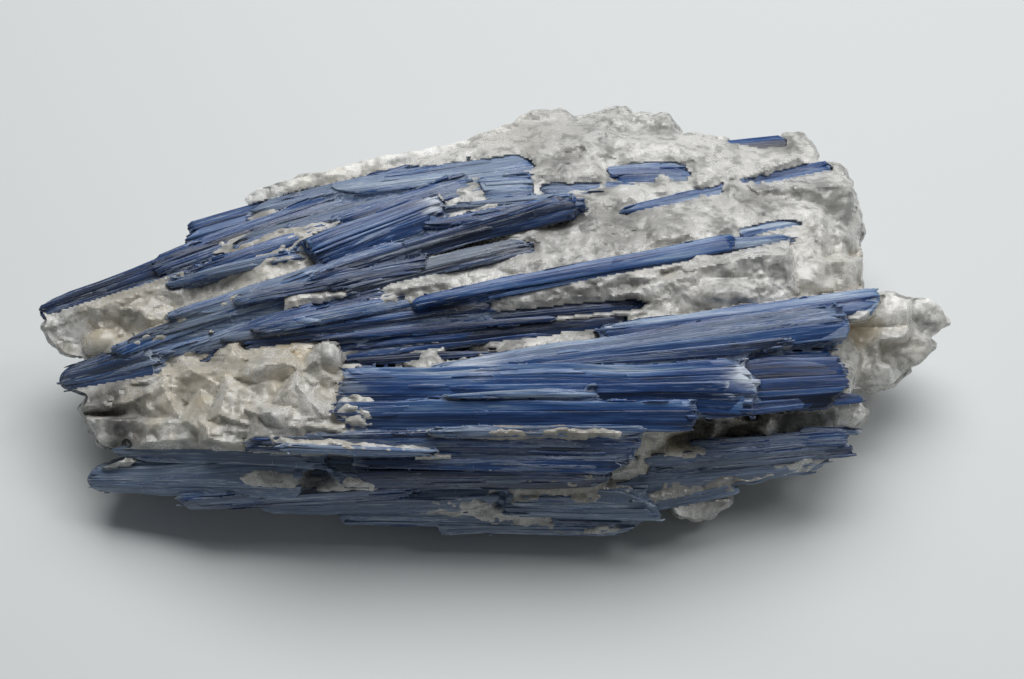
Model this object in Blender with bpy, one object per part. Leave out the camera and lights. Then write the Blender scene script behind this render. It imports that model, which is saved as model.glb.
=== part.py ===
"""Kyanite blade cluster: sprays of blue kyanite blades grown through a mass of quartz.

The piece lies on a small flat face broken across the quartz. Its length runs along X, its
display side faces -Y and up. Each spray of intergrown blades is one solid, each blade that
lies alone in the quartz is its own solid, and the quartz has sockets where the blades sit.
"""

import math
import random
from collections import namedtuple

import bmesh
import bpy
from mathutils import Matrix, Vector, noise

# Driving dimensions, in millimetres. The object is about 150 long.
MM = 0.001
GAP = 0.3  # hairline between two solids that touch
BASE_LIFT = 0.4  # a rough lump stays this far above the resting plane

# Every place on the display side is measured as a viewer sees it who looks down at the
# piece: how far right and up it is on a plane through AIM that faces the viewer, and its
# true height above the resting plane.
VIEW_TILT = math.radians(50)
VIEW_DISTANCE = 233.0
AIM = Vector((4.0, -6.0, 15.0))
TO_VIEWER = Vector((0, -math.cos(VIEW_TILT), math.sin(VIEW_TILT)))
VIEW_UP = Vector((0, math.sin(VIEW_TILT), math.cos(VIEW_TILT)))
EYE = AIM + VIEW_DISTANCE * TO_VIEWER

# How a blade splits into slats, and how far their ends and faces differ.
SLAT_WIDTH = 2.1
MOST_SLATS = 3
SLAT_END_SHARE = 0.07
SLAT_STEP = 0.55
SLAT_LAP = 0.2
SLAT_BEVEL = 0.22
END_SLANT = 0.9

# How broken the quartz is.
CORE_ROUGHNESS = 1.5
CORE_GRAIN = 9.0
LUMP_CORNERS = 14
GOLDEN_ANGLE = math.radians(137.5)

Blade = namedtuple("Blade", "tail tip width thick lean tail_share tip_share")
Lump = namedtuple("Lump", "centre radii")


def seen(right, up, height):
    """The point at this height on the viewer's sight line through (right, up)."""
    on_plane = AIM + Vector((right, 0, 0)) + up * VIEW_UP
    share = (height - EYE.z) / (on_plane.z - EYE.z)
    return EYE.lerp(on_plane, share)


def blade(tail, tip, width, thick, lean, tail_share, tip_share):
    """A blade whose visible face runs from tail to tip. lean tips that face from straight
    up towards the viewer, in degrees. The shares narrow its two ends."""
    return Blade(seen(*tail), seen(*tip), width, thick, lean, tail_share, tip_share)


def hidden_blade(tail, tip, width, thick, lean):
    """A blade of the back or the underside, placed in the part's own frame."""
    return Blade(Vector(tail), Vector(tip), width, thick, lean, 0.7, 0.8)


# Blades that grew through each other are one solid. Each list is one such spray. A row is
# a blade's tail and tip as (right, up, height), its width and thickness, its lean, and
# the shares of the width that its tail and its tip keep.
UPPER_SPRAY = [
    blade((-78.5, 5, 20), (-51, 14.5, 26), 5, 7, 15, 0.55, 1),
    blade((-59.5, 12.5, 25.5), (-26.5, 23.5, 28), 5.5, 7, 10, 0.6, 0.9),
    blade((-54, 17.5, 24), (-14.5, 28, 27), 6.5, 7, 0, 0.9, 0.8),
    blade((-43.5, 21.5, 26), (-5, 29.5, 27.5), 4.5, 6, 0, 0.7, 0.8),
    blade((-30, 24.5, 27), (4, 29.5, 28.5), 5, 6, 5, 0.7, 0.9),
    blade((-47, 15.5, 27.5), (-18.5, 23.5, 29), 3.5, 5, 10, 0.6, 0.8),
    blade((-30, 19, 28.5), (-5.5, 26.5, 29.5), 4.5, 5, 10, 0.7, 0.9),
]

MIDDLE_SPRAY = [
    # The raised blade and the slivers along it.
    blade((-33.5, 13.5, 30), (-11, 22, 31.5), 7, 5, 30, 0.95, 0.8),
    blade((-53, 11.5, 27), (-30, 18.5, 29), 3, 5, 15, 0.6, 0.8),
    blade((-57.5, 9.5, 26), (-34.5, 14.5, 29), 3, 5, 20, 0.5, 0.8),
    # The fan that opens from the middle prong.
    blade((-75.5, -6.5, 15), (-57.5, -2, 22), 7, 9, 25, 0.6, 1),
    blade((-66, -2, 21), (-30, 11, 29), 4, 7, 20, 0.6, 0.9),
    blade((-57, 3.5, 25), (-15, 15.5, 30.5), 5, 6, 20, 0.5, 0.9),
    blade((-63.5, 0, 22), (-41.5, 6.5, 27), 3, 5, 20, 0.5, 0.8),
    blade((-59.5, -2.5, 21), (-18.5, 8, 28.5), 3.5, 7, 20, 0.6, 0.8),
    blade((-53, -1.5, 22), (-31, 5, 27), 3.5, 6, 25, 0.6, 1),
    blade((-34.5, 9.5, 29), (11.5, 22, 32), 5, 6, 45, 0.3, 0.9),
    blade((-15, 18.5, 30.8), (12, 23.3, 32.2), 3.5, 5, 8, 0.4, 0.9),
    blade((-30, 8, 28.5), (4.5, 16, 30), 5, 6, 20, 0.6, 0.7),
    blade((-46, 6.5, 27.5), (-13.5, 12.5, 30), 3, 5, 20, 0.6, 0.8),
    blade((-43, 1.5, 26), (-15, 7, 28), 3, 6, 25, 0.6, 0.8),
    blade((-64, -5.5, 17), (-47, -2, 22), 2.5, 6, 35, 0.6, 0.8),
    # The dark rods.
    blade((-48.5, 0, 24), (-3, 6, 27.5), 2.5, 5, 20, 0.6, 0.8),
    blade((-44.5, -1, 23.5), (22.5, 6, 26.5), 3, 6, 30, 0.5, 0.6),
    blade((-34.5, 0, 24.5), (8, 3.5, 26), 1.5, 4, 20, 0.6, 0.6),
    blade((-31.5, -1.5, 23), (19.5, 3, 25.5), 2, 5, 30, 0.6, 1),
    blade((-29, -3, 22), (8, 1, 24.5), 1.5, 4, 30, 0.6, 0.5),
    blade((-29, -4, 21.5), (-2, -2, 23.5), 2, 5, 30, 0.8, 0.4),
    blade((-29, -5.5, 21), (-12.5, -5, 23), 1.5, 5, 30, 0.8, 0.4),
    # The bright rod.
    blade((-16.5, 6, 29), (37, 16.5, 31.5), 3, 4.5, 20, 0.5, 0.95),
    blade((-6, 6.6, 28.4), (30, 13.6, 30.2), 2, 4, 25, 0.5, 0.5),
    blade((33, 15.6, 31.2), (46.5, 17, 29), 2.5, 3, 20, 0.9, 0.4),
]

FRONT_SPRAY = [
    # The long pale blade.
    blade((-14.5, -5.5, 27), (55.5, 4, 29.5), 6.5, 6, 25, 0.12, 0.95),
    blade((14.5, 1.5, 29), (61, 7, 28), 4, 5, 20, 0.3, 1),
    blade((1.5, -4.5, 28.5), (47, -0.5, 28), 3, 5, 35, 0.2, 0.7),
    # The deep blue blade, the flake on it and its right end.
    blade((-29, -8.5, 27), (40.5, -7.5, 30), 7.5, 6, 35, 0.8, 1),
    blade((-30, -13, 25.5), (31, -12.5, 28), 5.5, 7, 45, 0.8, 0.8),
    blade((21, -8.5, 25), (55.5, -6.5, 24), 9.5, 8, 30, 0.9, 0.8),
    blade((31, -12, 24.5), (57.5, -9.5, 21), 3, 5, 40, 0.7, 0.5),
    blade((-12, -9.5, 28.6), (15, -8.5, 29.6), 2, 2, 35, 0.3, 0.9),
    blade((21, -4, 27), (53, -2.5, 25), 3.5, 7, 20, 0.6, 0.6),
    # The front face below it, and the lowest prong on the left.
    blade((-15, -15.5, 26), (23, -15, 26), 2.5, 6, 40, 0.6, 0.6),
    blade((-44.5, -17.5, 23), (21.5, -17.5, 24), 4.5, 8, 65, 0.5, 1),
    blade((-26.5, -20.5, 21), (20, -21, 21.5), 2.5, 6, 45, 0.4, 1),
    blade((-39, -18, 24), (-12, -19, 23.5), 2.5, 5, 50, 0.6, 0.4),
    blade((-71, -23, 9), (-34.5, -22.5, 17), 6.5, 9, 50, 0.6, 1),
    blade((-66, -18.5, 13), (-30, -20, 20), 3, 7, 45, 0.6, 0.8),
    blade((-56, -27, 10), (-15, -25, 15.5), 4.5, 8, 70, 0.5, 0.8),
    blade((-30, -23.5, 17), (16, -23.5, 18), 4, 8, 75, 0.8, 0.8),
    # The ragged fringe that overhangs the resting plane.
    blade((-41.5, -28, 9.5), (-2, -27.5, 11), 4.5, 8, 75, 0.5, 0.8),
    blade((-29, -28.8, 7.8), (4, -30, 8.2), 4.5, 7, 65, 0.8, 0.9),
    blade((-2, -27.5, 12), (24.5, -27.5, 13), 6, 7, 65, 0.7, 0.9),
    blade((-13, -30.7, 6.8), (22, -31, 7.8), 4, 8, 60, 0.8, 0.7),
    # The right end of the front face.
    blade((29, -17.5, 18), (55.5, -16, 16), 2.5, 5, 40, 0.6, 0.9),
    blade((21, -21, 17), (56.5, -17.5, 14.5), 4, 7, 60, 0.8, 0.8),
    blade((14.5, -24.5, 14), (53, -20.5, 12), 4.5, 7, 65, 0.8, 0.7),
    blade((47, -15, 17), (57.5, -15, 16), 1.5, 4, 40, 0.9, 0.6),
    blade((17.5, -28.5, 10), (37.5, -24.5, 11), 3, 6, 60, 0.6, 0.6),
]

TOP_BLADES = [
    blade((-5.5, 25, 29.5), (3.5, 25.5, 29.5), 5.5, 6, 10, 1, 0.9),
    blade((-12, 22, 29.5), (14.5, 24, 29), 2.5, 4, 10, 0.6, 0.4),
    blade((4.5, 24.5, 29), (21, 25.5, 28), 3, 4, 10, 0.8, 0.6),
    blade((15.5, 27, 28.5), (29.5, 27.5, 28), 5, 5, 15, 0.7, 0.9),
]

BACK_SPRAY = [
    hidden_blade((-30, 25.5, 10), (8, 37.5, 12), 6, 7, -80),
    hidden_blade((-4, 36, 13.5), (20, 39.5, 14), 3.5, 6, -75),
    hidden_blade((10, 39.5, 12), (52, 33, 14), 5, 7, -80),
]

SPRAYS = {
    "kyanite_upper_spray": UPPER_SPRAY,
    "kyanite_middle_spray": MIDDLE_SPRAY,
    "kyanite_front_spray": FRONT_SPRAY,
    "kyanite_top_blades": TOP_BLADES,
    "kyanite_ridge_blade": [blade((21, 30.5, 26), (45, 32.5, 25), 3.5, 5, 5, 0.4, 1)],
    "kyanite_slant_blade": [blade((17.5, 21, 29), (52.5, 28.5, 26), 3, 4, 20, 0.5, 0.7)],
    "kyanite_small_blade": [blade((37.5, 17.5, 29), (48, 19.5, 27), 2.5, 3, 20, 0.7, 0.5)],
    "kyanite_back_spray": BACK_SPRAY,
    "kyanite_back_left_blade": [hidden_blade((-40, 22, 15), (-4, 34.5, 17), 5, 6, -75)],
    "kyanite_back_top_blade": [hidden_blade((0, 38, 19.5), (36, 38, 19), 4, 7, -65)],
    "kyanite_back_low_blade": [hidden_blade((-22, 24, 5), (24, 36.5, 6), 4, 6, -80)],
}

# The quartz mass, as sections across its length: x, then its front and back edges (y),
# then the heights of its underside, its front, its middle and its back.
CORE_SECTIONS = [
    (-64, -15, 1, 9, 12, 15, 17),
    (-55, -25, 7, 4, 14, 19, 20),
    (-46, -28, 15, 0, 17, 22, 22.5),
    (-34, -30, 23.5, 0, 19, 24, 23),
    (-22, -31, 27.5, 0, 20, 24.5, 24),
    (-8, -32, 31.5, 0, 21, 25, 25),
    (4, -32, 36, 0, 21.5, 25.5, 26),
    (18, -32, 38.5, 0, 21, 27, 28),
    (30, -30, 36, 0, 20, 27.5, 28),
    (42, -27, 33, 2, 18, 27.5, 27),
    (52, -22, 32, 5, 17, 26, 26),
    (58.5, -14, 25, 8, 15, 24, 23),
    (62, -4, 16, 10, 14, 20, 19),
]


def lump(centre, radii):
    """A chunk of quartz that stands out of the mass: its centre as seen, and its radii."""
    return Lump(seen(*centre), Vector(radii))


def hidden_lump(centre, radii):
    """A chunk on the hidden side, placed in the part's own frame."""
    return Lump(Vector(centre), Vector(radii))


LUMPS = [
    # The hump and the shoulders of the back edge.
    lump((5.5, 32.5, 21), (9, 7, 5)),
    lump((14.5, 32.2, 22), (10, 8, 5)),
    lump((22.5, 31.5, 22), (8, 8, 5)),
    lump((31, 28.5, 22), (9, 8, 5)),
    lump((46, 30, 21), (5, 5, 4)),
    # The right side and the open quartz of the top.
    lump((48.5, 23, 18), (8, 9, 8)),
    lump((52, 20, 15), (6, 9, 7)),
    lump((47, 11.5, 20), (10, 8, 5)),
    lump((35.5, 9, 23), (12, 8, 4)),
    lump((21, 6.5, 23), (8, 6, 4)),
    lump((29, 23, 25), (12, 6, 4)),
    lump((40.5, 21, 24), (9, 7, 4)),
    lump((8, 13, 26), (9, 5, 3.5)),
    lump((14.5, 18, 26), (9, 5, 4)),
    # The left end, between the two upper prongs.
    lump((-72, 2, 15), (6, 5.5, 4.5)),
    lump((-66.5, 4.5, 17), (6, 4.5, 4)),
    lump((-61, 6.5, 19), (6, 4, 4)),
    lump((-67.5, -1, 15.5), (5.5, 3, 3)),
    # The cream pocket, and the rubble to its left.
    lump((-54.5, -7.5, 16.5), (9, 7, 5.5)),
    lump((-43, -5.5, 19.5), (8, 6.5, 5)),
    lump((-37, -9, 20.5), (9, 7, 5)),
    lump((-48.5, -11.5, 15.5), (7, 6, 5)),
    lump((-30.5, -10, 21), (7, 5, 4)),
    lump((-30.5, -3, 23.5), (2.4, 2.4, 3.5)),
    lump((-59.5, -12.5, 12.5), (6, 6, 5.5)),
    lump((-66, -12.5, 10.5), (4.5, 5, 5.5)),
    # The clear fingers of the right end.
    lump((62.5, 3.5, 13.5), (9.5, 4, 4.5)),
    lump((61, -1.5, 11.5), (8.5, 4, 4.5)),
    lump((58.5, -5, 10.5), (7, 3.5, 4)),
    # Low down on the front.
    hidden_lump((33, -28, 5), (8, 6, 4.5)),
    lump((53, -12.5, 13), (4.5, 3, 4)),
    # The hidden side, from left to right.
    hidden_lump((-57, 3, 12), (7, 5, 5)),
    hidden_lump((-44, 15, 8), (8, 5, 5)),
    hidden_lump((-30, 24, 19), (8, 4, 4)),
    hidden_lump((-16, 28, 8), (9, 5, 5)),
    hidden_lump((-4, 33, 15), (8, 4, 4)),
    hidden_lump((10, 35, 10), (10, 5, 6)),
    hidden_lump((25, 36, 15), (9, 5, 5)),
    hidden_lump((36, 32, 8), (9, 5, 5)),
    hidden_lump((48, 29, 14), (8, 6, 6)),
    hidden_lump((54, 19, 11), (6, 7, 5)),
    hidden_lump((57, 8, 12), (5, 6, 5)),
]


def clear_scene():
    for obj in list(bpy.data.objects):
        bpy.data.objects.remove(obj)


def closed_mesh(name, bm):
    """The mesh of a closed bmesh, its faces turned outward."""
    bmesh.ops.recalc_face_normals(bm, faces=bm.faces)
    mesh = bpy.data.meshes.new(name)
    bm.to_mesh(mesh)
    bm.free()
    return mesh


def blade_frame(b):
    """The blade's own axes: along its length, across its face, and out of its face."""
    along = (b.tip - b.tail).normalized()
    out = (Vector((0, 0, 1)) - along * along.z).normalized()
    out = Matrix.Rotation(math.radians(b.lean), 3, along) @ out
    return along, out.cross(along), out


def prism(b, left, right, top, ends, slant, bevel_share, grow):
    """A flat-faced bar of a blade, from left to right across it, as a closed mesh.
    ends are its start and stop along the blade, slant tilts its two end faces, and grow
    swells it on every side."""
    along, across, out = blade_frame(b)
    length = (b.tip - b.tail).length
    bm = bmesh.new()
    rings = []
    for end, outward, share in ((0, -1, b.tail_share), (1, 1, b.tip_share)):
        at = b.tail.lerp(b.tip, ends[end] / length) + along * outward * grow
        deep = b.thick * (0.55 + 0.45 * share) + grow
        low = left * share - grow
        high = right * share + grow
        bevel = bevel_share * min(high - low, deep)
        face = top + grow
        profile = [(low + bevel, face), (high - bevel, face)]
        profile += [(high, face - bevel)] if bevel else []
        profile += [(high - bevel, -deep), (low + bevel, -deep)]
        profile += [(low, face - bevel)] if bevel else []
        ring = []
        for y, z in profile:
            lean_back = slant[end] * (z - face) / deep * outward
            point = at + across * y + out * z + along * lean_back
            ring.append(bm.verts.new(point * MM))
        rings.append(ring)
    count = len(rings[0])
    for i in range(count):
        j = (i + 1) % count
        bm.faces.new((rings[0][i], rings[1][i], rings[1][j], rings[0][j]))
    bm.faces.new(rings[0])
    bm.faces.new(rings[1][::-1])
    return closed_mesh("prism", bm)


def slat_edges(b, rng):
    """The lines that part a blade's width into slats, from its left edge to its right."""
    count = max(1, min(MOST_SLATS, round(b.width / SLAT_WIDTH)))
    inner = [(i + rng.uniform(-0.25, 0.25)) / count for i in range(1, count)]
    return [(share - 0.5) * b.width for share in [0, *inner, 1]]


def slat_meshes(b, seed):
    """The slats of a blade. One keeps its full length, the others end a little short."""
    rng = random.Random(seed)
    length = (b.tip - b.tail).length
    edges = slat_edges(b, rng)
    longest = rng.randrange(len(edges) - 1)
    meshes = []
    for i, (left, right) in enumerate(zip(edges, edges[1:])):
        pull = [rng.uniform(0, SLAT_END_SHARE) * length for _ in range(2)]
        step = -rng.uniform(0, SLAT_STEP)
        slant = [rng.uniform(-END_SLANT, END_SLANT) for _ in range(2)]
        if i == longest:
            pull = [0, 0]
            step = 0
        ends = (pull[0], length - pull[1])
        sides = left - SLAT_LAP, right + SLAT_LAP
        meshes.append(prism(b, *sides, step, ends, slant, SLAT_BEVEL, 0))
    return meshes


def spray_slats(name, blades):
    """The slats of every blade of a spray."""
    meshes = []
    for i, b in enumerate(blades):
        meshes += slat_meshes(b, f"{name}{i}")
    return meshes


def socket_mesh(b):
    """The room that a whole blade takes in its neighbours, with the hairline round it."""
    half = 0.5 * b.width + SLAT_LAP
    length = (b.tip - b.tail).length
    ends = (-END_SLANT, length + END_SLANT)
    return prism(b, -half, half, 0, ends, (0, 0), 0, GAP)


def bake(obj):
    """Replaces the object's mesh by what its modifiers make of it."""
    bpy.context.view_layer.update()
    graph = bpy.context.evaluated_depsgraph_get()
    made = bpy.data.meshes.new_from_object(obj.evaluated_get(graph))
    obj.modifiers.clear()
    obj.data = made


def combine(obj, operation, meshes):
    """Joins closed meshes to the object, or takes them out of it, in one exact step."""
    if not meshes:
        return
    others = bpy.data.collections.new("others")
    bpy.context.scene.collection.children.link(others)
    for mesh in meshes:
        others.objects.link(bpy.data.objects.new("other", mesh))
    step = obj.modifiers.new("step", "BOOLEAN")
    step.solver = "EXACT"
    step.operation = operation
    step.operand_type = "COLLECTION"
    step.collection = others
    bake(obj)
    for other in list(others.objects):
        bpy.data.objects.remove(other)
    bpy.data.collections.remove(others)


def union(name, meshes):
    """A new object of this name, the union of closed meshes."""
    obj = bpy.data.objects.new(name, meshes[0])
    bpy.context.scene.collection.objects.link(obj)
    combine(obj, "UNION", meshes[1:])
    return obj


def linked_faces(start, unseen):
    """The faces joined to this one by edges, taken out of the unseen ones."""
    piece, edge = {start}, [start]
    while edge:
        face = edge.pop()
        for other in {f for e in face.edges for f in e.link_faces} & unseen:
            unseen.discard(other)
            piece.add(other)
            edge.append(other)
    return piece


def drop_chips(obj):
    """Keeps the largest piece of a solid and drops the chips that a cut has freed."""
    bm = bmesh.new()
    bm.from_mesh(obj.data)
    unseen = set(bm.faces)
    pieces = []
    while unseen:
        pieces.append(linked_faces(unseen.pop(), unseen))
    pieces.sort(key=lambda piece: sum(face.calc_area() for face in piece))
    for chip in pieces[:-1]:
        bmesh.ops.delete(bm, geom=list(chip), context="FACES")
    bm.to_mesh(obj.data)
    bm.free()


def box_of(mesh):
    """The lowest and the highest corner of the box around a mesh."""
    points = [v.co for v in mesh.vertices]
    lows = [min(p[k] for p in points) for k in range(3)]
    highs = [max(p[k] for p in points) for k in range(3)]
    return lows, highs


def boxes_meet(a, b):
    """True where the boxes around two meshes overlap."""
    (low_a, high_a), (low_b, high_b) = box_of(a), box_of(b)
    return all(low_a[k] < high_b[k] and low_b[k] < high_a[k] for k in range(3))


def core_ring(section):
    """The outline of the quartz mass at one section, from the front of the base round."""
    x, front, back, base, front_top, middle_top, back_top = section
    deep = back - front
    rise = front_top - base
    back_rise = back_top - base
    outline = [
        (front + min(9, 0.3 * deep), base),
        (front + min(3, 0.1 * deep), base + 0.25 * rise),
        (front, base + 0.6 * rise),
        (front + min(2, 0.05 * deep), base + 0.93 * rise),
        (front + 0.22 * deep, front_top + min(2, 0.1 * rise)),
        (front + 0.42 * deep, 0.5 * (front_top + middle_top)),
        (front + 0.62 * deep, middle_top),
        (front + 0.82 * deep, back_top + 0.03 * back_rise),
        (back - 0.05 * deep, base + 0.93 * back_rise),
        (back, base + 0.72 * back_rise),
        (back - min(3, 0.06 * deep), base + 0.3 * back_rise),
        (back - 0.2 * deep, base),
        (front + 0.55 * deep, base),
    ]
    return [Vector((x, y, z)) for y, z in outline]


def core_mesh():
    """The quartz mass under the lumps: rings joined end to end, their corners shifted."""
    bm = bmesh.new()
    rings = [[bm.verts.new(p) for p in core_ring(s)] for s in CORE_SECTIONS]
    count = len(rings[0])
    for a, b in zip(rings, rings[1:]):
        for i in range(count):
            j = (i + 1) % count
            bm.faces.new((a[i], a[j], b[j], b[i]))
    bm.faces.new(rings[0][::-1])
    bm.faces.new(rings[-1])
    ends = CORE_SECTIONS[0][0], CORE_SECTIONS[-1][0]
    for v in bm.verts:
        if v.co.z > BASE_LIFT and ends[0] < v.co.x < ends[1]:
            v.co += noise.noise_vector(v.co / CORE_GRAIN) * CORE_ROUGHNESS
            v.co.z = max(v.co.z, BASE_LIFT)
    bmesh.ops.triangulate(bm, faces=bm.faces)
    bmesh.ops.scale(bm, vec=Vector((MM, MM, MM)), verts=bm.verts)
    return closed_mesh("core", bm)


def lump_mesh(chunk, seed):
    """A chunk with broken flat faces: the hull of a few points strewn evenly round it."""
    rng = random.Random(seed)
    bm = bmesh.new()
    for i in range(LUMP_CORNERS):
        height = 1 - (2 * i + 1) / LUMP_CORNERS
        turn = i * GOLDEN_ANGLE + rng.uniform(-0.5, 0.5)
        ring = math.sqrt(1 - height * height)
        way = Vector((ring * math.cos(turn), ring * math.sin(turn), height))
        way *= rng.uniform(0.82, 1.08)
        place = chunk.centre + Vector(way[k] * chunk.radii[k] for k in range(3))
        place.z = max(place.z, BASE_LIFT)
        bm.verts.new(place * MM)
    hull = bmesh.ops.convex_hull(bm, input=bm.verts)
    inside = [v for v in hull["geom_interior"] if isinstance(v, bmesh.types.BMVert)]
    bmesh.ops.delete(bm, geom=inside, context="VERTS")
    return closed_mesh("lump", bm)


def material(name, colour, roughness):
    made = bpy.data.materials.new(name)
    made.use_nodes = True
    shader = made.node_tree.nodes["Principled BSDF"]
    shader.inputs["Base Color"].default_value = (*colour, 1)
    shader.inputs["Roughness"].default_value = roughness
    shader.inputs["Metallic"].default_value = 0.0
    return made


def dress(obj, finish):
    obj.data.materials.clear()
    obj.data.materials.append(finish)


def main():
    clear_scene()
    kyanite = material("kyanite_blue", (0.07, 0.13, 0.36), 0.35)
    quartz = material("quartz_grey_white", (0.62, 0.6, 0.56), 0.3)
    sockets = []
    for name, blades in SPRAYS.items():
        spray = union(name, spray_slats(name, blades))
        near = [socket for socket in sockets if boxes_meet(spray.data, socket)]
        combine(spray, "DIFFERENCE", near)
        drop_chips(spray)
        dress(spray, kyanite)
        sockets += [socket_mesh(b) for b in blades]
    chunks = [lump_mesh(chunk, i) for i, chunk in enumerate(LUMPS)]
    matrix = union("quartz_matrix", [core_mesh(), *chunks])
    combine(matrix, "DIFFERENCE", sockets)
    drop_chips(matrix)
    dress(matrix, quartz)


main()
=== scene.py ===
# %% [markdown]
# # A cluster of kyanite blades in quartz
# Kyanite grows as long flat blades that cleave into ever thinner sheets. Here sprays of blue
# blades lie in a mass of milky quartz, and both were broken out of the rock together, so every
# end is torn and the quartz is rough on all sides. The solids of the part give the size and the
# place of each blade. This script dresses them: it rebuilds each blade from thin sheets, breaks
# the faces of the quartz into scoops and facets, and gives both their colours.

# %% Load the solid model
import itertools
import math
from collections import namedtuple

import bmesh
import bpy
import numpy as np
from mathutils import Matrix, Vector
from mathutils.bvhtree import BVHTree


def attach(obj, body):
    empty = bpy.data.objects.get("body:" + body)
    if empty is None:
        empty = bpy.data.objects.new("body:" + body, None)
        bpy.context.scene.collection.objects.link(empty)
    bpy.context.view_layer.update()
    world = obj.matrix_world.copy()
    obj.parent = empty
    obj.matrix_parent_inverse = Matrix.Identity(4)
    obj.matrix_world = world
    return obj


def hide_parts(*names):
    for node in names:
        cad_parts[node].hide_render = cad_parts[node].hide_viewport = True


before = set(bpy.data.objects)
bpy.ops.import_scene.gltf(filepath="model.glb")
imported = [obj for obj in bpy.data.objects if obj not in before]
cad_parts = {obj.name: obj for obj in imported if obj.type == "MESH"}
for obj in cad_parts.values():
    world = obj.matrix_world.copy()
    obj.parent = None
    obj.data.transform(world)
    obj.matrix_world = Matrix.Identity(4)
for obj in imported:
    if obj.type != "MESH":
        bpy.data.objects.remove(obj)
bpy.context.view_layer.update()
MM = 0.001

# %% [markdown]
# ## Where things are
# All places on the display side are given as a viewer sees them who looks down at the piece
# from 50 degrees: millimetres right and up on a plane through the aim point, and the true
# height above the resting plane. One line of sight and one height make one point in space.

# %% The viewer and the camera
VIEW_TILT = math.radians(50)
VIEW_DISTANCE = 233.0
FOCAL_LENGTH, SENSOR_WIDTH = 50, 36
NEAR_CLIP = 0.01
AIM = Vector((4.0, -6.0, 15.0))
TO_VIEWER = Vector((0, -math.cos(VIEW_TILT), math.sin(VIEW_TILT)))
VIEW_UP = Vector((0, math.sin(VIEW_TILT), math.cos(VIEW_TILT)))
EYE = AIM + VIEW_DISTANCE * TO_VIEWER


def seen(right, up, height):
    """The point at this height on the viewer's sight line through (right, up)."""
    on_plane = AIM + Vector((right, 0, 0)) + up * VIEW_UP
    share = (height - EYE.z) / (on_plane.z - EYE.z)
    return EYE.lerp(on_plane, share)


scene = bpy.context.scene
lens = bpy.data.cameras.new("camera")
lens.lens = FOCAL_LENGTH
lens.sensor_width = SENSOR_WIDTH
lens.clip_start = NEAR_CLIP
camera = bpy.data.objects.new("camera", lens)
camera.location = EYE * MM
camera.rotation_euler = (-TO_VIEWER).to_track_quat("-Z", "Y").to_euler()
scene.collection.objects.link(camera)
scene.camera = camera
print("camera at", [round(c, 3) for c in camera.location])

# %% [markdown]
# ## Light
# The blades shine along their length, so they need one large soft source to mirror. A wide
# panel stands above and behind the piece: faces that lie flat catch it, and faces that lean to
# the front stay dark. A small lamp up on the right adds sharper glints, and a dim even sky fills
# the rest. The floor is plain and pale.

# %% Floor, panel, lamp and sky
FLOOR_HALF = 1.5
FLOOR_GREY, FLOOR_ROUGHNESS = (0.63, 0.655, 0.66), 0.6
PANEL_PLACE = (0.05, 0.28, 0.62)
PANEL_SIZE = (0.7, 0.5)
PANEL_POWER = 5.0
SKY = (0.86, 0.90, 0.92)
SKY_STRENGTH = 0.14
GLINT_PLACE = (0.38, 0.0, 0.5)
GLINT_SIZE = 0.14
GLINT_POWER = 0.5


def plain_finish(name, colour, roughness):
    """A simple even material."""
    finish = bpy.data.materials.new(name)
    finish.use_nodes = True
    shader = finish.node_tree.nodes["Principled BSDF"]
    shader.inputs["Base Color"].default_value = (*colour, 1)
    shader.inputs["Roughness"].default_value = roughness
    return finish


floor_mesh = bpy.data.meshes.new("floor")
corners = [(-1, -1), (1, -1), (1, 1), (-1, 1)]
floor_mesh.from_pydata([(x * FLOOR_HALF, y * FLOOR_HALF, 0) for x, y in corners], [],
                       [(0, 1, 2, 3)])
floor = bpy.data.objects.new("floor", floor_mesh)
scene.collection.objects.link(floor)
floor_mesh.materials.append(plain_finish("floor_grey", FLOOR_GREY, FLOOR_ROUGHNESS))


def area_light(name, place, size, power):
    """A rectangle of light that faces the middle of the resting plane."""
    light = bpy.data.lights.new(name, "AREA")
    light.shape = "RECTANGLE"
    light.size, light.size_y = size
    light.energy = power
    stand = bpy.data.objects.new(name, light)
    stand.location = place
    stand.rotation_euler = Vector(place).to_track_quat("Z", "Y").to_euler()
    scene.collection.objects.link(stand)


area_light("panel", PANEL_PLACE, PANEL_SIZE, PANEL_POWER)
area_light("glint", GLINT_PLACE, (GLINT_SIZE, GLINT_SIZE), GLINT_POWER)
scene.world = bpy.data.worlds.new("sky")
scene.world.use_nodes = True
sky = scene.world.node_tree.nodes["Background"]
sky.inputs["Color"].default_value = (*SKY, 1)
sky.inputs["Strength"].default_value = SKY_STRENGTH
scene.view_settings.view_transform = "Standard"
print("lit by a panel of", PANEL_SIZE, "m and a lamp of", GLINT_SIZE, "m")

# %% [markdown]
# ## Shader sums as Python
# A finish is mostly arithmetic on a few noises. The class below wraps one socket of a shader
# tree, so that such a sum can be written as it is thought: `tone + (streak - 0.5) * 0.4`.

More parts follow.
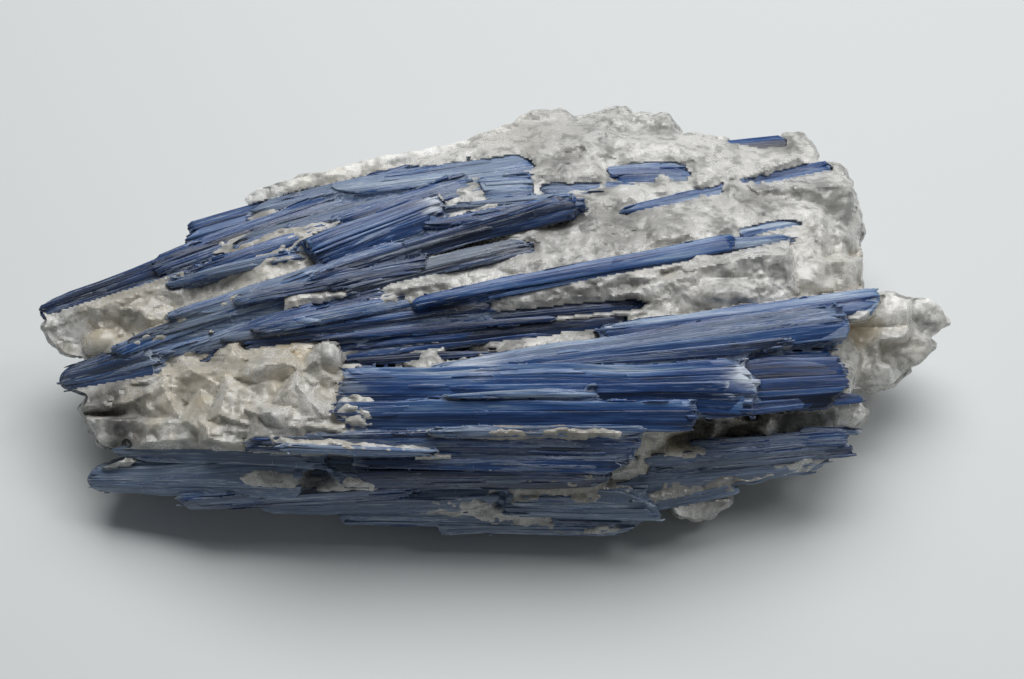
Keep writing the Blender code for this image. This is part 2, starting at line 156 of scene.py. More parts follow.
# %% A socket that can be added and multiplied
class Wire:
    """One socket of a shader tree, which can stand in a Python sum."""

    def __init__(self, tree, socket=None):
        self.tree = tree
        self.socket = socket

    def node(self, kind, settings=None, inputs=None, out=0):
        """Adds a node, sets it up, feeds its sockets and returns one of its outputs."""
        made = self.tree.nodes.new(kind)
        for name, value in (settings or {}).items():
            if name == "stops":
                set_stops(made.color_ramp, value)
            else:
                setattr(made, name, value)
        for key, value in (inputs or {}).items():
            if isinstance(value, Wire):
                self.tree.links.new(value.socket, made.inputs[key])
            else:
                made.inputs[key].default_value = value
        return Wire(self.tree, made.outputs[out])

    def sum(self, operation, *values):
        """A Math node of this kind over numbers and wires."""
        return self.node("ShaderNodeMath", {"operation": operation}, dict(enumerate(values)))

    def __add__(self, other):
        return self.sum("ADD", self, other)

    __radd__ = __add__

    def __sub__(self, other):
        return self.sum("SUBTRACT", self, other)

    def __rsub__(self, other):
        return self.sum("SUBTRACT", other, self)

    def __mul__(self, other):
        return self.sum("MULTIPLY", self, other)

    __rmul__ = __mul__

    def step(self, low, high):
        """0 below low, 1 above high and smooth between."""
        settings = {"interpolation_type": "SMOOTHSTEP"}
        inputs = {"Value": self, "From Min": low, "From Max": high}
        return self.node("ShaderNodeMapRange", settings, inputs)

    def scaled(self, stretch):
        """A vector with each part multiplied."""
        return self.node("ShaderNodeVectorMath", {"operation": "MULTIPLY"},
                         {0: self, 1: stretch})

    def noise(self, detail=2.0, roughness=0.5, swirl=0.0):
        """Noise of about one lump a unit, read at this vector."""
        inputs = {"Vector": self, "Scale": 1.0, "Detail": detail, "Roughness": roughness,
                  "Distortion": swirl}
        return self.node("ShaderNodeTexNoise", inputs=inputs)

    def part(self, axis):
        """One of the three parts of this vector."""
        return self.node("ShaderNodeSeparateXYZ", inputs={"Vector": self}, out=axis)

    def paint(self, over, share):
        """This colour with another laid over it."""
        settings = {"data_type": "RGBA"}
        return self.node("ShaderNodeMix", settings, {0: share, 6: self, 7: over}, out=2)


def set_stops(ramp, stops):
    """Gives a colour ramp its stops."""
    while len(ramp.elements) < len(stops):
        ramp.elements.new(0.5)
    for element, (place, colour) in zip(ramp.elements, stops):
        element.position = place
        element.color = (*colour, 1)


def start_finish(name, constants):
    """A new material with constants on its shader, and a wire into its tree."""
    finish = bpy.data.materials.new(name)
    finish.use_nodes = True
    shader = finish.node_tree.nodes["Principled BSDF"]
    for key, value in constants.items():
        shader.inputs[key].default_value = value
    return finish, shader, Wire(finish.node_tree)


def feed(shader, wires):
    """Links wires into a shader's sockets."""
    for key, wire in wires.items():
        wire.tree.links.new(wire.socket, shader.inputs[key])


# %% [markdown]
# ## The blue of kyanite
# The colour of a blade runs from near black through deep blue to a chalky pale blue, always in
# streaks along its length. Grey films lie over it in patches, and wherever a sheet is torn the
# loose fibres scatter light and look white; the same white paints glints at a few spots. Each
# vertex carries three notes for this: `grain` (millimetres along and across its blade, and a
# number of its own), `look` (tone, film, and fray with the painted glints) and `slate` (how grey
# it is). The noises are stretched along `grain`, so the streaks follow each blade.

# %% Kyanite finish
BLUES = [
    (0.00, (0.004, 0.008, 0.022)),
    (0.22, (0.007, 0.022, 0.070)),
    (0.42, (0.014, 0.052, 0.180)),
    (0.62, (0.045, 0.115, 0.290)),
    (0.82, (0.150, 0.240, 0.400)),
    (1.00, (0.420, 0.500, 0.600)),
]
SLATE = (0.074, 0.085, 0.097)
FILM = (0.17, 0.225, 0.31)
# The white of torn fibres and fine lines, which also paints the glints at the white spots.
FRAYED_AND_GLINT = (0.60, 0.66, 0.74)


def kyanite_finish():
    """The finish of the blades."""
    constants = {"IOR": 1.72, "Specular IOR Level": 0.31}
    finish, shader, wire = start_finish("kyanite_blue", constants)
    grain = wire.node("ShaderNodeAttribute", {"attribute_name": "grain"}, out="Vector")
    look = wire.node("ShaderNodeAttribute", {"attribute_name": "look"}, out="Vector")
    slate = wire.node("ShaderNodeAttribute", {"attribute_name": "slate"}, out="Fac")
    tone, film, fray = look.part(0), look.part(1), look.part(2)
    bands = grain.scaled((0.045, 0.6, 1.0)).noise(3.0, 0.55)
    streaks = grain.scaled((0.07, 2.6, 1.0)).noise(4.0, 0.65)
    fibres = grain.scaled((0.22, 8.0, 1.0)).noise(4.0, 0.7)
    clouds = grain.scaled((0.13, 0.9, 2.0)).noise(5.0, 0.65)
    threads = grain.scaled((0.10, 3.2, 3.0)).noise(2.0, 0.5)
    cracks = grain.scaled((3.2, 0.3, 1.0)).noise(3.0, 0.6)
    # The blue runs from dark to pale, then grey and film go over it.
    shade = tone + (bands - 0.5) * 1.2 + (streaks - 0.5) * 0.6 + (fibres - 0.5) * 0.6
    blue = wire.node("ShaderNodeValToRGB", {"stops": BLUES}, {"Fac": shade}, out="Color")
    dulled = blue.paint((*SLATE, 1), slate * (0.6 + (clouds - 0.5) * 1.4))
    covered = clouds + (film - 0.5) * 0.45 + (fibres - 0.5) * 0.35
    veil = covered.step(0.52, 0.68) * 0.6
    filmed = dulled.paint((*FILM, 1), veil)
    # White comes last: torn fibres with the painted glints, fine lines, long threads,
    # the rims of films and cross cracks.
    torn = (fray + (fibres - 0.5) * 1.6).step(0.35, 1.0)
    thread = 1 - wire.sum("ABSOLUTE", threads - 0.5) * 26.0
    thread = thread.step(0.0, 0.8) * (bands + streaks - 0.5).step(0.42, 0.62)
    lines = (fibres + (streaks - 0.5) * 0.9).step(0.60, 0.80) * (0.05 + film * 0.45)
    rim = (1 - wire.sum("ABSOLUTE", covered - 0.57) * 40.0).step(0.0, 0.7) * film * 0.5
    crossed = cracks.step(0.66, 0.74) * film * 0.3
    white = torn.sum("MAXIMUM", torn, lines.sum("MAXIMUM", lines, crossed))
    white = white.sum("MAXIMUM", white, thread.sum("MAXIMUM", thread * (0.1 + film * 0.5), rim))
    colour = filmed.paint((*FRAYED_AND_GLINT, 1), white)
    height = fibres * 0.9 + streaks * 0.9 + veil * 0.5
    bump = wire.node("ShaderNodeBump", {}, {"Strength": 0.45, "Distance": 0.0001,
                                            "Height": height}, out="Normal")
    feed(shader, {
        "Base Color": colour,
        "Roughness": 0.17 + fibres * 0.12 + veil * 0.3 + torn * 0.2,
        "Normal": bump,
    })
    return finish


KYANITE = kyanite_finish()
print("kyanite finish:", len(KYANITE.node_tree.nodes), "nodes")

# %% [markdown]
# ## Quartz
# The quartz is milky and broken, grey where light goes into it, white where it is crushed, with
# cream, amber and brown where iron has stained it. Near-black smoke marks dark stains, and is
# also painted shade in the notch at the left end and in the gap under the deep blue blade. It
# lets some light through. Two notes on each vertex say how it differs: one for the stains
# (cream, amber, and smoke with the painted shade) and `crush`.

# %% Quartz finish
MILK = (0.88, 0.87, 0.83)
SHADE = (0.40, 0.40, 0.38)
CRUSHED = (0.93, 0.92, 0.90)
CREAM = (0.72, 0.66, 0.54)
AMBER = (0.52, 0.40, 0.20)
# Near-black smoke: dark stains, and painted shade in the notch at the left end and in the gap
# under the deep blue blade.
SMOKE_AND_SHADE = (0.085, 0.080, 0.075)


def quartz_finish(name, clearness, roughness):
    """The finish of the quartz, which lets this share of the light through."""
    constants = {"IOR": 1.54, "Transmission Weight": clearness}
    finish, shader, wire = start_finish(name, constants)
    place = wire.node("ShaderNodeTexCoord", out="Object")
    stain = wire.node("ShaderNodeAttribute", {"attribute_name": "stain"}, out="Vector")
    crush = wire.node("ShaderNodeAttribute", {"attribute_name": "crush"}, out="Fac")
    clouds = place.scaled((170.0,) * 3).noise(4.0, 0.6)
    specks = place.scaled((1100.0,) * 3).noise(2.0, 0.6)
    veils = place.scaled((420.0, 520.0, 520.0)).noise(5.0, 0.68, 0.4)
    folds = 1 - veils.sum("ABSOLUTE", veils - 0.5) * 22.0
    colour = wire.node("ShaderNodeMix", {"data_type": "RGBA"},
                       {0: (clouds + (veils - 0.5) * 1.2).step(0.26, 0.64), 6: (*SHADE, 1),
                        7: (*MILK, 1)}, out=2)
    flaw = folds.step(0.0, 0.9) * clouds.step(0.42, 0.6)
    white = flaw + (crush + (specks - 0.5) * 1.1).step(0.5, 1.0)
    # Cream and amber stains go on the milk, crushed white lies over them, and smoke over
    # everything:
    # dark stains, and painted shade in the notch at the left end and the gap under the deep blade.
    colour = colour.paint((*CREAM, 1), stain.part(0) * (0.85 + (veils - 0.5)))
    colour = colour.paint((*AMBER, 1), stain.part(1) * (0.7 + (clouds - 0.5)))
    colour = colour.paint((*CRUSHED, 1), white * 0.8)
    colour = colour.paint((*SMOKE_AND_SHADE, 1), stain.part(2) * (0.75 + (veils - 0.5) * 1.4))
    height = specks * 0.5 + veils * 1.6
    bump = wire.node("ShaderNodeBump", {}, {"Strength": 0.5, "Distance": 0.0002,
                                            "Height": height}, out="Normal")
    feed(shader, {"Base Color": colour, "Roughness": roughness + white * 0.2, "Normal": bump})
    return finish


QUARTZ = quartz_finish("quartz_milky", 0.35, 0.22)
print("quartz finish:", len(QUARTZ.node_tree.nodes), "nodes")

# %% [markdown]
# ## Repeatable noise for shapes
# Torn sheets and broken faces also need noise in the mesh itself. Whole-number cells are
# scrambled into numbers that look random and never change, and a smooth noise blends them.

# %% Noise on arrays of points
def scrambled(cells, seed):
    """A number from 0 to 1 for each whole-number cell, the same on every run."""
    whole = cells.astype(np.int64).astype(np.uint32)
    mixed = np.full(whole.shape[:-1], (seed * 2654435761 + 97) & 0xFFFFFFFF, np.uint32)
    for axis, prime in enumerate((73856093, 19349663, 83492791)):
        mixed = mixed ^ (whole[..., axis] * np.uint32(prime))
        mixed = (mixed ^ (mixed >> np.uint32(15))) * np.uint32(2246822519)
    mixed = (mixed ^ (mixed >> np.uint32(13))) * np.uint32(3266489917)
    return (mixed ^ (mixed >> np.uint32(16))) / 4294967296.0


def soft_noise(points, size, seed):
    """Smooth noise from 0 to 1 with lumps of about this size, for an array of points."""
    at = np.asarray(points, float) / np.asarray(size, float)
    cell = np.floor(at)
    way = at - cell
    way = way * way * (3 - 2 * way)
    total = np.zeros(at.shape[:-1])
    for corner in itertools.product((0, 1), repeat=3):
        weight = np.prod(np.where(np.array(corner) == 1, way, 1 - way), axis=-1)
        total += weight * scrambled(cell + corner, seed)
    return total


# %% [markdown]
# ## Spots
# Colour and wear change from place to place over the whole piece, not only from blade to blade:
# stains lie where water reached, films where the sheets were pulled off. Each is a spot on the
# display side: where it is seen, its height, how far it spreads and how strong it is. Where
# spots of a list overlap, the strongest one counts.

# %% Spots
Spot = namedtuple("Spot", "place radius strength")
RAGGED, RAGGED_SIZE = 0.8, (2.4, 2.4, 2.4)


def spot(right, up, height, radius, strength=1.0):
    """A spot where it is seen, at this height."""
    return Spot(seen(right, up, height), radius, strength)


def spread(points, spots, seed):
    """How strongly a list of spots marks each point: fully near a middle, not past its rim."""
    total = np.zeros(len(points))
    ragged = (soft_noise(points, RAGGED_SIZE, seed) - 0.5) * RAGGED
    for s in spots:
        away = np.linalg.norm(points - np.array(s.place), axis=1) / s.radius + ragged
        total = np.maximum(total, s.strength * np.clip(1.5 - 1.5 * away, 0, 1))
    return total


# %% [markdown]
# ## The looks of a blade
# A spray holds blades of many tones side by side, so each blade is given one of a few looks: its
# tone from dark to pale, how grey it is, how much film lies on it, how far its ends are torn and
# how many loose sheets lie on its face.

# %% Looks of a blade
Look = namedtuple("Look", "tone slate film tear loose")
LOOKS = {
    "night": Look(0.28, 0.00, 0.15, 1.0, 0.03),
    "dusk": Look(0.33, 0.12, 0.38, 1.4, 0.06),
    "deep": Look(0.46, 0.00, 0.00, 1.4, 0.03),
    "abyss": Look(0.31, 0.00, -0.30, 1.6, 0.02),
    "vivid": Look(0.50, 0.00, 0.20, 0.5, 0.01),
    "violet": Look(0.46, 0.05, 0.32, 1.2, 0.03),
    "middle": Look(0.43, 0.20, 0.42, 1.4, 0.06),
    "pale": Look(0.64, 0.08, 0.45, 1.0, 0.02),
    "chalk": Look(0.65, 0.25, 0.60, 1.2, 0.03),
    "veiled": Look(0.50, 0.30, 0.65, 1.6, 0.06),
    "slate": Look(0.50, 0.36, 0.70, 1.6, 0.07),
    "stone": Look(0.36, 0.60, 0.36, 1.6, 0.07),
    "ash": Look(0.48, 0.70, 0.75, 2.0, 0.08),
}
print("looks:", len(LOOKS))

# %% [markdown]
# ## The blades
# These rows repeat the ones that the solids were made from: each blade's tail and tip as (right,
# up, height), its width, thickness and lean, and the share of its width that is left at its tail
# and tip. Two pale blades of the front spray differ: they keep more width at the tail here. The
# name in a row is its look, and True marks a tail that is worn round.

# %% How a row is read
Blade = namedtuple("Blade", "tail tip width thick lean tail_share tip_share look worn")
HIDDEN_SHARES = (0.7, 0.8)


def blade(tail, tip, width, thick, lean, tail_share, tip_share, look, worn=False):
    """A blade whose visible face runs from tail to tip, and whose tail may be worn round."""
    ends = seen(*tail), seen(*tip)
    return Blade(*ends, width, thick, lean, tail_share, tip_share, look, worn)


def hidden_blade(tail, tip, width, thick, lean):
    """A blade of the back or the underside, placed in the part's own frame."""
    return Blade(Vector(tail), Vector(tip), width, thick, lean, *HIDDEN_SHARES, "middle", False)


# %% Rows of the upper and the middle spray
UPPER_SPRAY = [
    blade((-78.5, 5, 20), (-51, 14.5, 26), 5, 7, 15, 0.55, 1, "dusk", True),
    blade((-59.5, 12.5, 25.5), (-26.5, 23.5, 28), 5.5, 7, 10, 0.6, 0.9, "middle"),
    blade((-54, 17.5, 24), (-14.5, 28, 27), 6.5, 7, 0, 0.9, 0.8, "middle"),
    blade((-43.5, 21.5, 26), (-5, 29.5, 27.5), 4.5, 6, 0, 0.7, 0.8, "veiled"),
    blade((-30, 24.5, 27), (4, 29.5, 28.5), 5, 6, 5, 0.7, 0.9, "chalk"),
    blade((-47, 15.5, 27.5), (-18.5, 23.5, 29), 3.5, 5, 10, 0.6, 0.8, "veiled"),
    blade((-30, 19, 28.5), (-5.5, 26.5, 29.5), 4.5, 5, 10, 0.7, 0.9, "middle"),
]

MIDDLE_SPRAY = [
    # The raised blade and the slivers along it.
    blade((-33.5, 13.5, 30), (-11, 22, 31.5), 7, 5, 30, 0.95, 0.8, "violet"),
    blade((-53, 11.5, 27), (-30, 18.5, 29), 3, 5, 15, 0.6, 0.8, "violet"),
    blade((-57.5, 9.5, 26), (-34.5, 14.5, 29), 3, 5, 20, 0.5, 0.8, "veiled"),
    # The fan that opens from the middle prong.
    blade((-75.5, -6.5, 15), (-57.5, -2, 22), 7, 9, 25, 0.6, 1, "stone", True),
    blade((-66, -2, 21), (-30, 11, 29), 4, 7, 20, 0.6, 0.9, "pale"),
    blade((-57, 3.5, 25), (-15, 15.5, 30.5), 5, 6, 20, 0.5, 0.9, "veiled"),
    blade((-63.5, 0, 22), (-41.5, 6.5, 27), 3, 5, 20, 0.5, 0.8, "stone"),
    blade((-59.5, -2.5, 21), (-18.5, 8, 28.5), 3.5, 7, 20, 0.6, 0.8, "middle"),
    blade((-53, -1.5, 22), (-31, 5, 27), 3.5, 6, 25, 0.6, 1, "dusk"),
    blade((-34.5, 9.5, 29), (11.5, 22, 32), 5, 6, 45, 0.3, 0.9, "dusk"),
    blade((-15, 18.5, 30.8), (12, 23.3, 32.2), 3.5, 5, 8, 0.4, 0.9, "violet"),
    blade((-30, 8, 28.5), (4.5, 16, 30), 5, 6, 20, 0.6, 0.7, "stone"),
    blade((-46, 6.5, 27.5), (-13.5, 12.5, 30), 3, 5, 20, 0.6, 0.8, "stone"),
    blade((-43, 1.5, 26), (-15, 7, 28), 3, 6, 25, 0.6, 0.8, "middle"),
    blade((-64, -5.5, 17), (-47, -2, 22), 2.5, 6, 35, 0.6, 0.8, "dusk"),
    # The dark rods.
    blade((-48.5, 0, 24), (-3, 6, 27.5), 2.5, 5, 20, 0.6, 0.8, "dusk"),
    blade((-44.5, -1, 23.5), (22.5, 6, 26.5), 3, 6, 30, 0.5, 0.6, "night"),
    blade((-34.5, 0, 24.5), (8, 3.5, 26), 1.5, 4, 20, 0.6, 0.6, "night"),
    blade((-31.5, -1.5, 23), (19.5, 3, 25.5), 2, 5, 30, 0.6, 1, "night"),
    blade((-29, -3, 22), (8, 1, 24.5), 1.5, 4, 30, 0.6, 0.5, "night"),
    blade((-29, -4, 21.5), (-2, -2, 23.5), 2, 5, 30, 0.8, 0.4, "night"),
    blade((-29, -5.5, 21), (-12.5, -5, 23), 1.5, 5, 30, 0.8, 0.4, "night"),
    # The bright rod.
    blade((-16.5, 6, 29), (37, 16.5, 31.5), 3, 4.5, 20, 0.5, 0.95, "vivid"),
    blade((-6, 6.6, 28.4), (30, 13.6, 30.2), 2, 4, 25, 0.5, 0.5, "deep"),
    blade((33, 15.6, 31.2), (46.5, 17, 29), 2.5, 3, 20, 0.9, 0.4, "chalk"),
]

# %% Rows of the front spray
FRONT_SPRAY = [
    # The long pale blade.
    blade((-14.5, -5.5, 27), (55.5, 4, 29.5), 6.5, 6, 25, 0.35, 0.95, "pale"),
    blade((14.5, 1.5, 29), (61, 7, 28), 4, 5, 20, 0.5, 1, "pale"),
    blade((1.5, -4.5, 28.5), (47, -0.5, 28), 3, 5, 35, 0.2, 0.7, "veiled"),
    # The deep blue blade, the flake on it and its right end.
    blade((-29, -8.5, 27), (40.5, -7.5, 30), 7.5, 6, 35, 0.8, 1, "deep"),
    blade((-30, -13, 25.5), (31, -12.5, 28), 5.5, 7, 45, 0.8, 0.8, "deep"),
    blade((21, -8.5, 25), (55.5, -6.5, 24), 9.5, 8, 30, 0.9, 0.8, "abyss"),
    blade((31, -12, 24.5), (57.5, -9.5, 21), 3, 5, 40, 0.7, 0.5, "deep"),
    blade((-12, -9.5, 28.6), (15, -8.5, 29.6), 2, 2, 35, 0.3, 0.9, "chalk"),
    blade((21, -4, 27), (53, -2.5, 25), 3.5, 7, 20, 0.6, 0.6, "abyss"),
    # The front face below it, and the lowest prong on the left.
    blade((-15, -15.5, 26), (23, -15, 26), 2.5, 6, 40, 0.6, 0.6, "ash"),
    blade((-44.5, -17.5, 23), (21.5, -17.5, 24), 4.5, 8, 65, 0.5, 1, "dusk"),
    blade((-26.5, -20.5, 21), (20, -21, 21.5), 2.5, 6, 45, 0.4, 1, "middle"),
    blade((-39, -18, 24), (-12, -19, 23.5), 2.5, 5, 50, 0.6, 0.4, "veiled"),
    blade((-71, -23, 9), (-34.5, -22.5, 17), 6.5, 9, 50, 0.6, 1, "slate", True),
    blade((-66, -18.5, 13), (-30, -20, 20), 3, 7, 45, 0.6, 0.8, "slate"),
    blade((-56, -27, 10), (-15, -25, 15.5), 4.5, 8, 70, 0.5, 0.8, "dusk"),
    blade((-30, -23.5, 17), (16, -23.5, 18), 4, 8, 75, 0.8, 0.8, "dusk"),
    # The ragged fringe that overhangs the resting plane.
    blade((-41.5, -28, 9.5), (-2, -27.5, 11), 4.5, 8, 75, 0.5, 0.8, "slate"),
    blade((-29, -28.8, 7.8), (4, -30, 8.2), 4.5, 7, 65, 0.8, 0.9, "slate"),
    blade((-2, -27.5, 12), (24.5, -27.5, 13), 6, 7, 65, 0.7, 0.9, "slate"),
    blade((-13, -30.7, 6.8), (22, -31, 7.8), 4, 8, 60, 0.8, 0.7, "ash"),
    # The right end of the front face.
    blade((29, -17.5, 18), (55.5, -16, 16), 2.5, 5, 40, 0.6, 0.9, "middle"),
    blade((21, -21, 17), (56.5, -17.5, 14.5), 4, 7, 60, 0.8, 0.8, "dusk"),
    blade((14.5, -24.5, 14), (53, -20.5, 12), 4.5, 7, 65, 0.8, 0.7, "slate"),
    blade((47, -15, 17), (57.5, -15, 16), 1.5, 4, 40, 0.9, 0.6, "middle"),
    blade((17.5, -28.5, 10), (37.5, -24.5, 11), 3, 6, 60, 0.6, 0.6, "slate"),
]

# %% Rows of the single blades and of the back
TOP_BLADES = [
    blade((-5.5, 25, 29.5), (3.5, 25.5, 29.5), 5.5, 6, 10, 1, 0.9, "pale"),
    blade((-12, 22, 29.5), (14.5, 24, 29), 2.5, 4, 10, 0.6, 0.4, "veiled"),
    blade((4.5, 24.5, 29), (21, 25.5, 28), 3, 4, 10, 0.8, 0.6, "chalk"),
    blade((15.5, 27, 28.5), (29.5, 27.5, 28), 5, 5, 15, 0.7, 0.9, "pale"),
]
RIDGE_BLADE = [blade((21, 30.5, 26), (45, 32.5, 25), 3.5, 5, 5, 0.4, 1, "vivid")]
SLANT_BLADE = [blade((17.5, 21, 29), (52.5, 28.5, 26), 3, 4, 20, 0.5, 0.7, "pale")]
SMALL_BLADE = [blade((37.5, 17.5, 29), (48, 19.5, 27), 2.5, 3, 20, 0.7, 0.5, "pale")]
BACK_SPRAY = [
    hidden_blade((-30, 25.5, 10), (8, 37.5, 12), 6, 7, -80),
    hidden_blade((-4, 36, 13.5), (20, 39.5, 14), 3.5, 6, -75),
    hidden_blade((10, 39.5, 12), (52, 33, 14), 5, 7, -80),
]

SPRAYS = {
    "kyanite_upper_spray": UPPER_SPRAY,
    "kyanite_middle_spray": MIDDLE_SPRAY,
    "kyanite_front_spray": FRONT_SPRAY,
    "kyanite_top_blades": TOP_BLADES,
    "kyanite_ridge_blade": RIDGE_BLADE,
    "kyanite_slant_blade": SLANT_BLADE,
    "kyanite_small_blade": SMALL_BLADE,
    "kyanite_back_spray": BACK_SPRAY,
    "kyanite_back_left_blade": [hidden_blade((-40, 22, 15), (-4, 34.5, 17), 5, 6, -75)],
    "kyanite_back_top_blade": [hidden_blade((0, 38, 19.5), (36, 38, 19), 4, 7, -65)],
    "kyanite_back_low_blade": [hidden_blade((-22, 24, 5), (24, 36.5, 6), 4, 6, -80)],
}
print("blades:", sum(len(rows) for rows in SPRAYS.values()))

# %% [markdown]
# ## Sheets
# Kyanite splits along its length into thin sheets. Each sheet here is a grid of points: lines
# run along the blade, each with its own small height, so that the face is finely ribbed, and
# each line starts and stops where it was torn. A wall and an underside close the sheet. A blade's
# own coordinates are millimetres along it, across it and out of its face.

# %% One torn sheet
Sheet = namedtuple("Sheet", "start stop left right top bottom tear roll yaw pitch thin")
EDGE = 0.13
RING_RUN = 7.0
LONGEST_TEAR = 0.42


def torn_ends(across, tear, rng):
    """How far each line of a sheet stays behind its longest one, at one end."""
    walk = np.cumsum(rng.normal(0, 0.10, len(across)))
    teeth = rng.exponential(0.7, len(across)) * (rng.random(len(across)) < 0.25)
    slant = rng.choice((-1, 1)) * rng.exponential(0.5) * (across - across[0])
    behind = walk + teeth + slant
    return (behind - behind.min()) * tear


def round_ends(across, width):
    """The same for an end that is worn round."""
    half = 0.5 * width
    return half - np.sqrt(np.maximum(0, half * half - across * across))


def sheet_lines(left, right, pitch, rng):
    """Where the lines of a sheet run: one close to each side and uneven ones between."""
    within = right - left - 2 * EDGE
    shares = np.cumsum(rng.uniform(0.5, 1.5, max(1, round(within / pitch))))
    inner = left + EDGE + within * np.concatenate(([0], shares / shares[-1]))
    return np.concatenate(([left], inner, [right]))


def end_of(thin, rng):
    """How long the end of a sheet thins out, and how far it sinks there."""
    if rng.random() < 0.3:
        return 0.25, 0.06
    return 0.5 + rng.exponential(2.0), thin


def sheet_points(sheet, behind, pitch, rib, rng):
    """The points of a sheet's face, lines x rings x 3, in blade coordinates."""
    across = sheet_lines(sheet.left, sheet.right, pitch, rng)
    tail_behind, tip_behind = behind(across, rng)
    most = LONGEST_TEAR * (sheet.stop - sheet.start)
    first = sheet.start + np.minimum(tail_behind, most)
    last = sheet.stop - np.minimum(tip_behind, most)
    run = last - first
    (tail_run, tail_sink), (tip_run, tip_sink) = (end_of(sheet.thin, rng) for _ in range(2))
    tail_run, tip_run = np.minimum(tail_run, run * 0.3), np.minimum(tip_run, run * 0.3)
    steps = max(2, math.ceil((sheet.stop - sheet.start) / RING_RUN) + 1)
    inner = np.linspace(0, 1, steps)
    middle = (first + tail_run)[:, None] + (run - tail_run - tip_run)[:, None] * inner
    ends = first, first + 0.5 * tail_run, last - 0.5 * tip_run, last
    ends = [e[:, None] for e in ends]
    along = np.concatenate((ends[0], ends[1], middle, ends[2], ends[3]), axis=1)
    points = np.empty((*along.shape, 3))
    points[..., 0] = along
    points[..., 1] = across[:, None]
    for side in (0, -1):
        points[side, :, 1] += rng.normal(0, 0.04, along.shape[1])
    height = rng.normal(0, rib, len(across)) + sheet.roll * (across - across.mean())
    points[..., 2] = sheet.top + height[:, None] + rng.normal(0, 0.012, along.shape)
    points[:, :2, 2] -= tail_sink * np.array((1.0, 0.4))
    points[:, -2:, 2] -= tip_sink * np.array((0.4, 1.0))
    points[0, :, 2] -= rng.uniform(0.02, 0.09)
    points[-1, :, 2] -= rng.uniform(0.02, 0.09)
    from_middle = points[..., 0] - 0.5 * (sheet.start + sheet.stop)
    points[..., 1] += sheet.yaw * from_middle
    points[..., 2] += sheet.pitch * from_middle
    return points


def rim_of(lines, rings):
    """The indices round the edge of a grid of points, in order."""
    index = np.arange(lines * rings).reshape(lines, rings)
    return np.concatenate((index[0, :], index[1:, -1], index[-1, -2::-1], index[-2:0:-1, 0]))


def sheet_shell(points, bottom, rng):
    """All points of a closed sheet, its quads and its one many-sided underside."""
    lines, rings = points.shape[:2]
    index = np.arange(lines * rings).reshape(lines, rings)
    face = np.stack((index[:-1, :-1], index[:-1, 1:], index[1:, 1:], index[1:, :-1]), axis=-1)
    rim = rim_of(lines, rings)
    under = points.reshape(-1, 3)[rim].copy()
    under[:, 2] = bottom
    under[:, 0] += rng.uniform(-0.12, 0.12, len(rim))
    count = lines * rings
    low = np.arange(len(rim)) + count
    wall = np.stack((rim, low, np.roll(low, -1), np.roll(rim, -1)), axis=-1)
    whole = np.concatenate((points.reshape(-1, 3), under))
    return whole, np.concatenate((face.reshape(-1, 4), wall)), low[::-1]


def fray_of(lines, rings, strength):
    """1 along the torn outline of a sheet and 0 inside it."""
    fray = np.zeros((lines, rings))
    fray[:, 0] = fray[:, -1] = strength
    fray[0, :] = fray[-1, :] = 0.6 * strength
    return np.concatenate((fray.ravel(), fray.ravel()[rim_of(lines, rings)]))


def note(mesh, name, values):
    """Stores one number or three for each vertex, for the finish to read."""
    kind = "FLOAT_VECTOR" if values.ndim == 2 else "FLOAT"
    data = mesh.attributes.new(name, kind, "POINT").data
    data.foreach_set("vector" if values.ndim == 2 else "value",
                     values.ravel().astype(np.float32))


def set_points(mesh, points):
    """Puts the vertices of a mesh at these points, in millimetres."""
    mesh.vertices.foreach_set("co", (points * MM).ravel().astype(np.float32))


class Sheaf:
    """Collects the sheets of many blades into one mesh."""

    def __init__(self):
        self.points, self.grain, self.look, self.slate = [], [], [], []
        self.loops, self.sizes = [], []
        self.count = 0

    def add(self, points, grain, look, slate, quads, underside):
        """Takes in one sheet: its points, their notes and its faces."""
        self.points.append(points)
        self.grain.append(grain)
        self.look.append(look)
        self.slate.append(slate)
        self.loops += [quads.ravel() + self.count, underside + self.count]
        self.sizes += [np.full(len(quads), 4), np.array([len(underside)])]
        self.count += len(points)

    def mesh(self, name):
        """All the sheets as one mesh, with their notes."""
        made = bpy.data.meshes.new(name)
        points = np.concatenate(self.points)
        loops = np.concatenate(self.loops)
        sizes = np.concatenate(self.sizes)
        made.vertices.add(len(points))
        set_points(made, points)
        made.loops.add(len(loops))
        made.loops.foreach_set("vertex_index", loops.astype(np.int32))
        made.polygons.add(len(sizes))
        starts = np.concatenate(([0], np.cumsum(sizes)[:-1]))
        made.polygons.foreach_set("loop_start", starts.astype(np.int32))
        made.update(calc_edges=True)
        for field in ("grain", "look", "slate"):
            note(made, field, np.concatenate(getattr(self, field)))
        made.validate()
        return made


# %% [markdown]
# ## Blades from sheets
# A blade is a stack. Slabs make its body and show at its sides and ends. Strips side by side
# make its face, each rolled a little, so that each mirrors the light its own way. Loose sheets
# lie on the strips where the last layers have not split off, and splinters stick out beside the
# blade and at its ends.

# %% The sheets of one blade
SLAB = 0.7
STRIP_WIDTH, STRIP_DEPTH = 2.0, 0.75
LOOSE_DEPTH = 0.45
CROWN = 0.07
SPLINTERS_PER_RUN = 0.32
SPLINTERS_PER_END = 0.6


def parted(width, pitch, rng):
    """The lines that part a width into uneven strips."""
    count = max(1, round(width / pitch + rng.uniform(-0.4, 0.4)))
    shares = np.cumsum(rng.uniform(0.4, 1.6, count))
    return np.concatenate(([0], shares / shares[-1])) * width - width / 2


def crown(b, across):
    """How far the rounded face of a blade lies under its middle line, and its slope."""
    half = 0.5 * b.width
    share = across / half
    return CROWN * b.width * share * share, -2 * CROWN * b.width * share / half


def worn_back(b, depth):
    """How far a worn tail draws back at this depth under the face."""
    half = 0.5 * b.thick
    return 0.6 * (half - math.sqrt(max(0.0, half * half - (depth - half) ** 2))) * b.worn


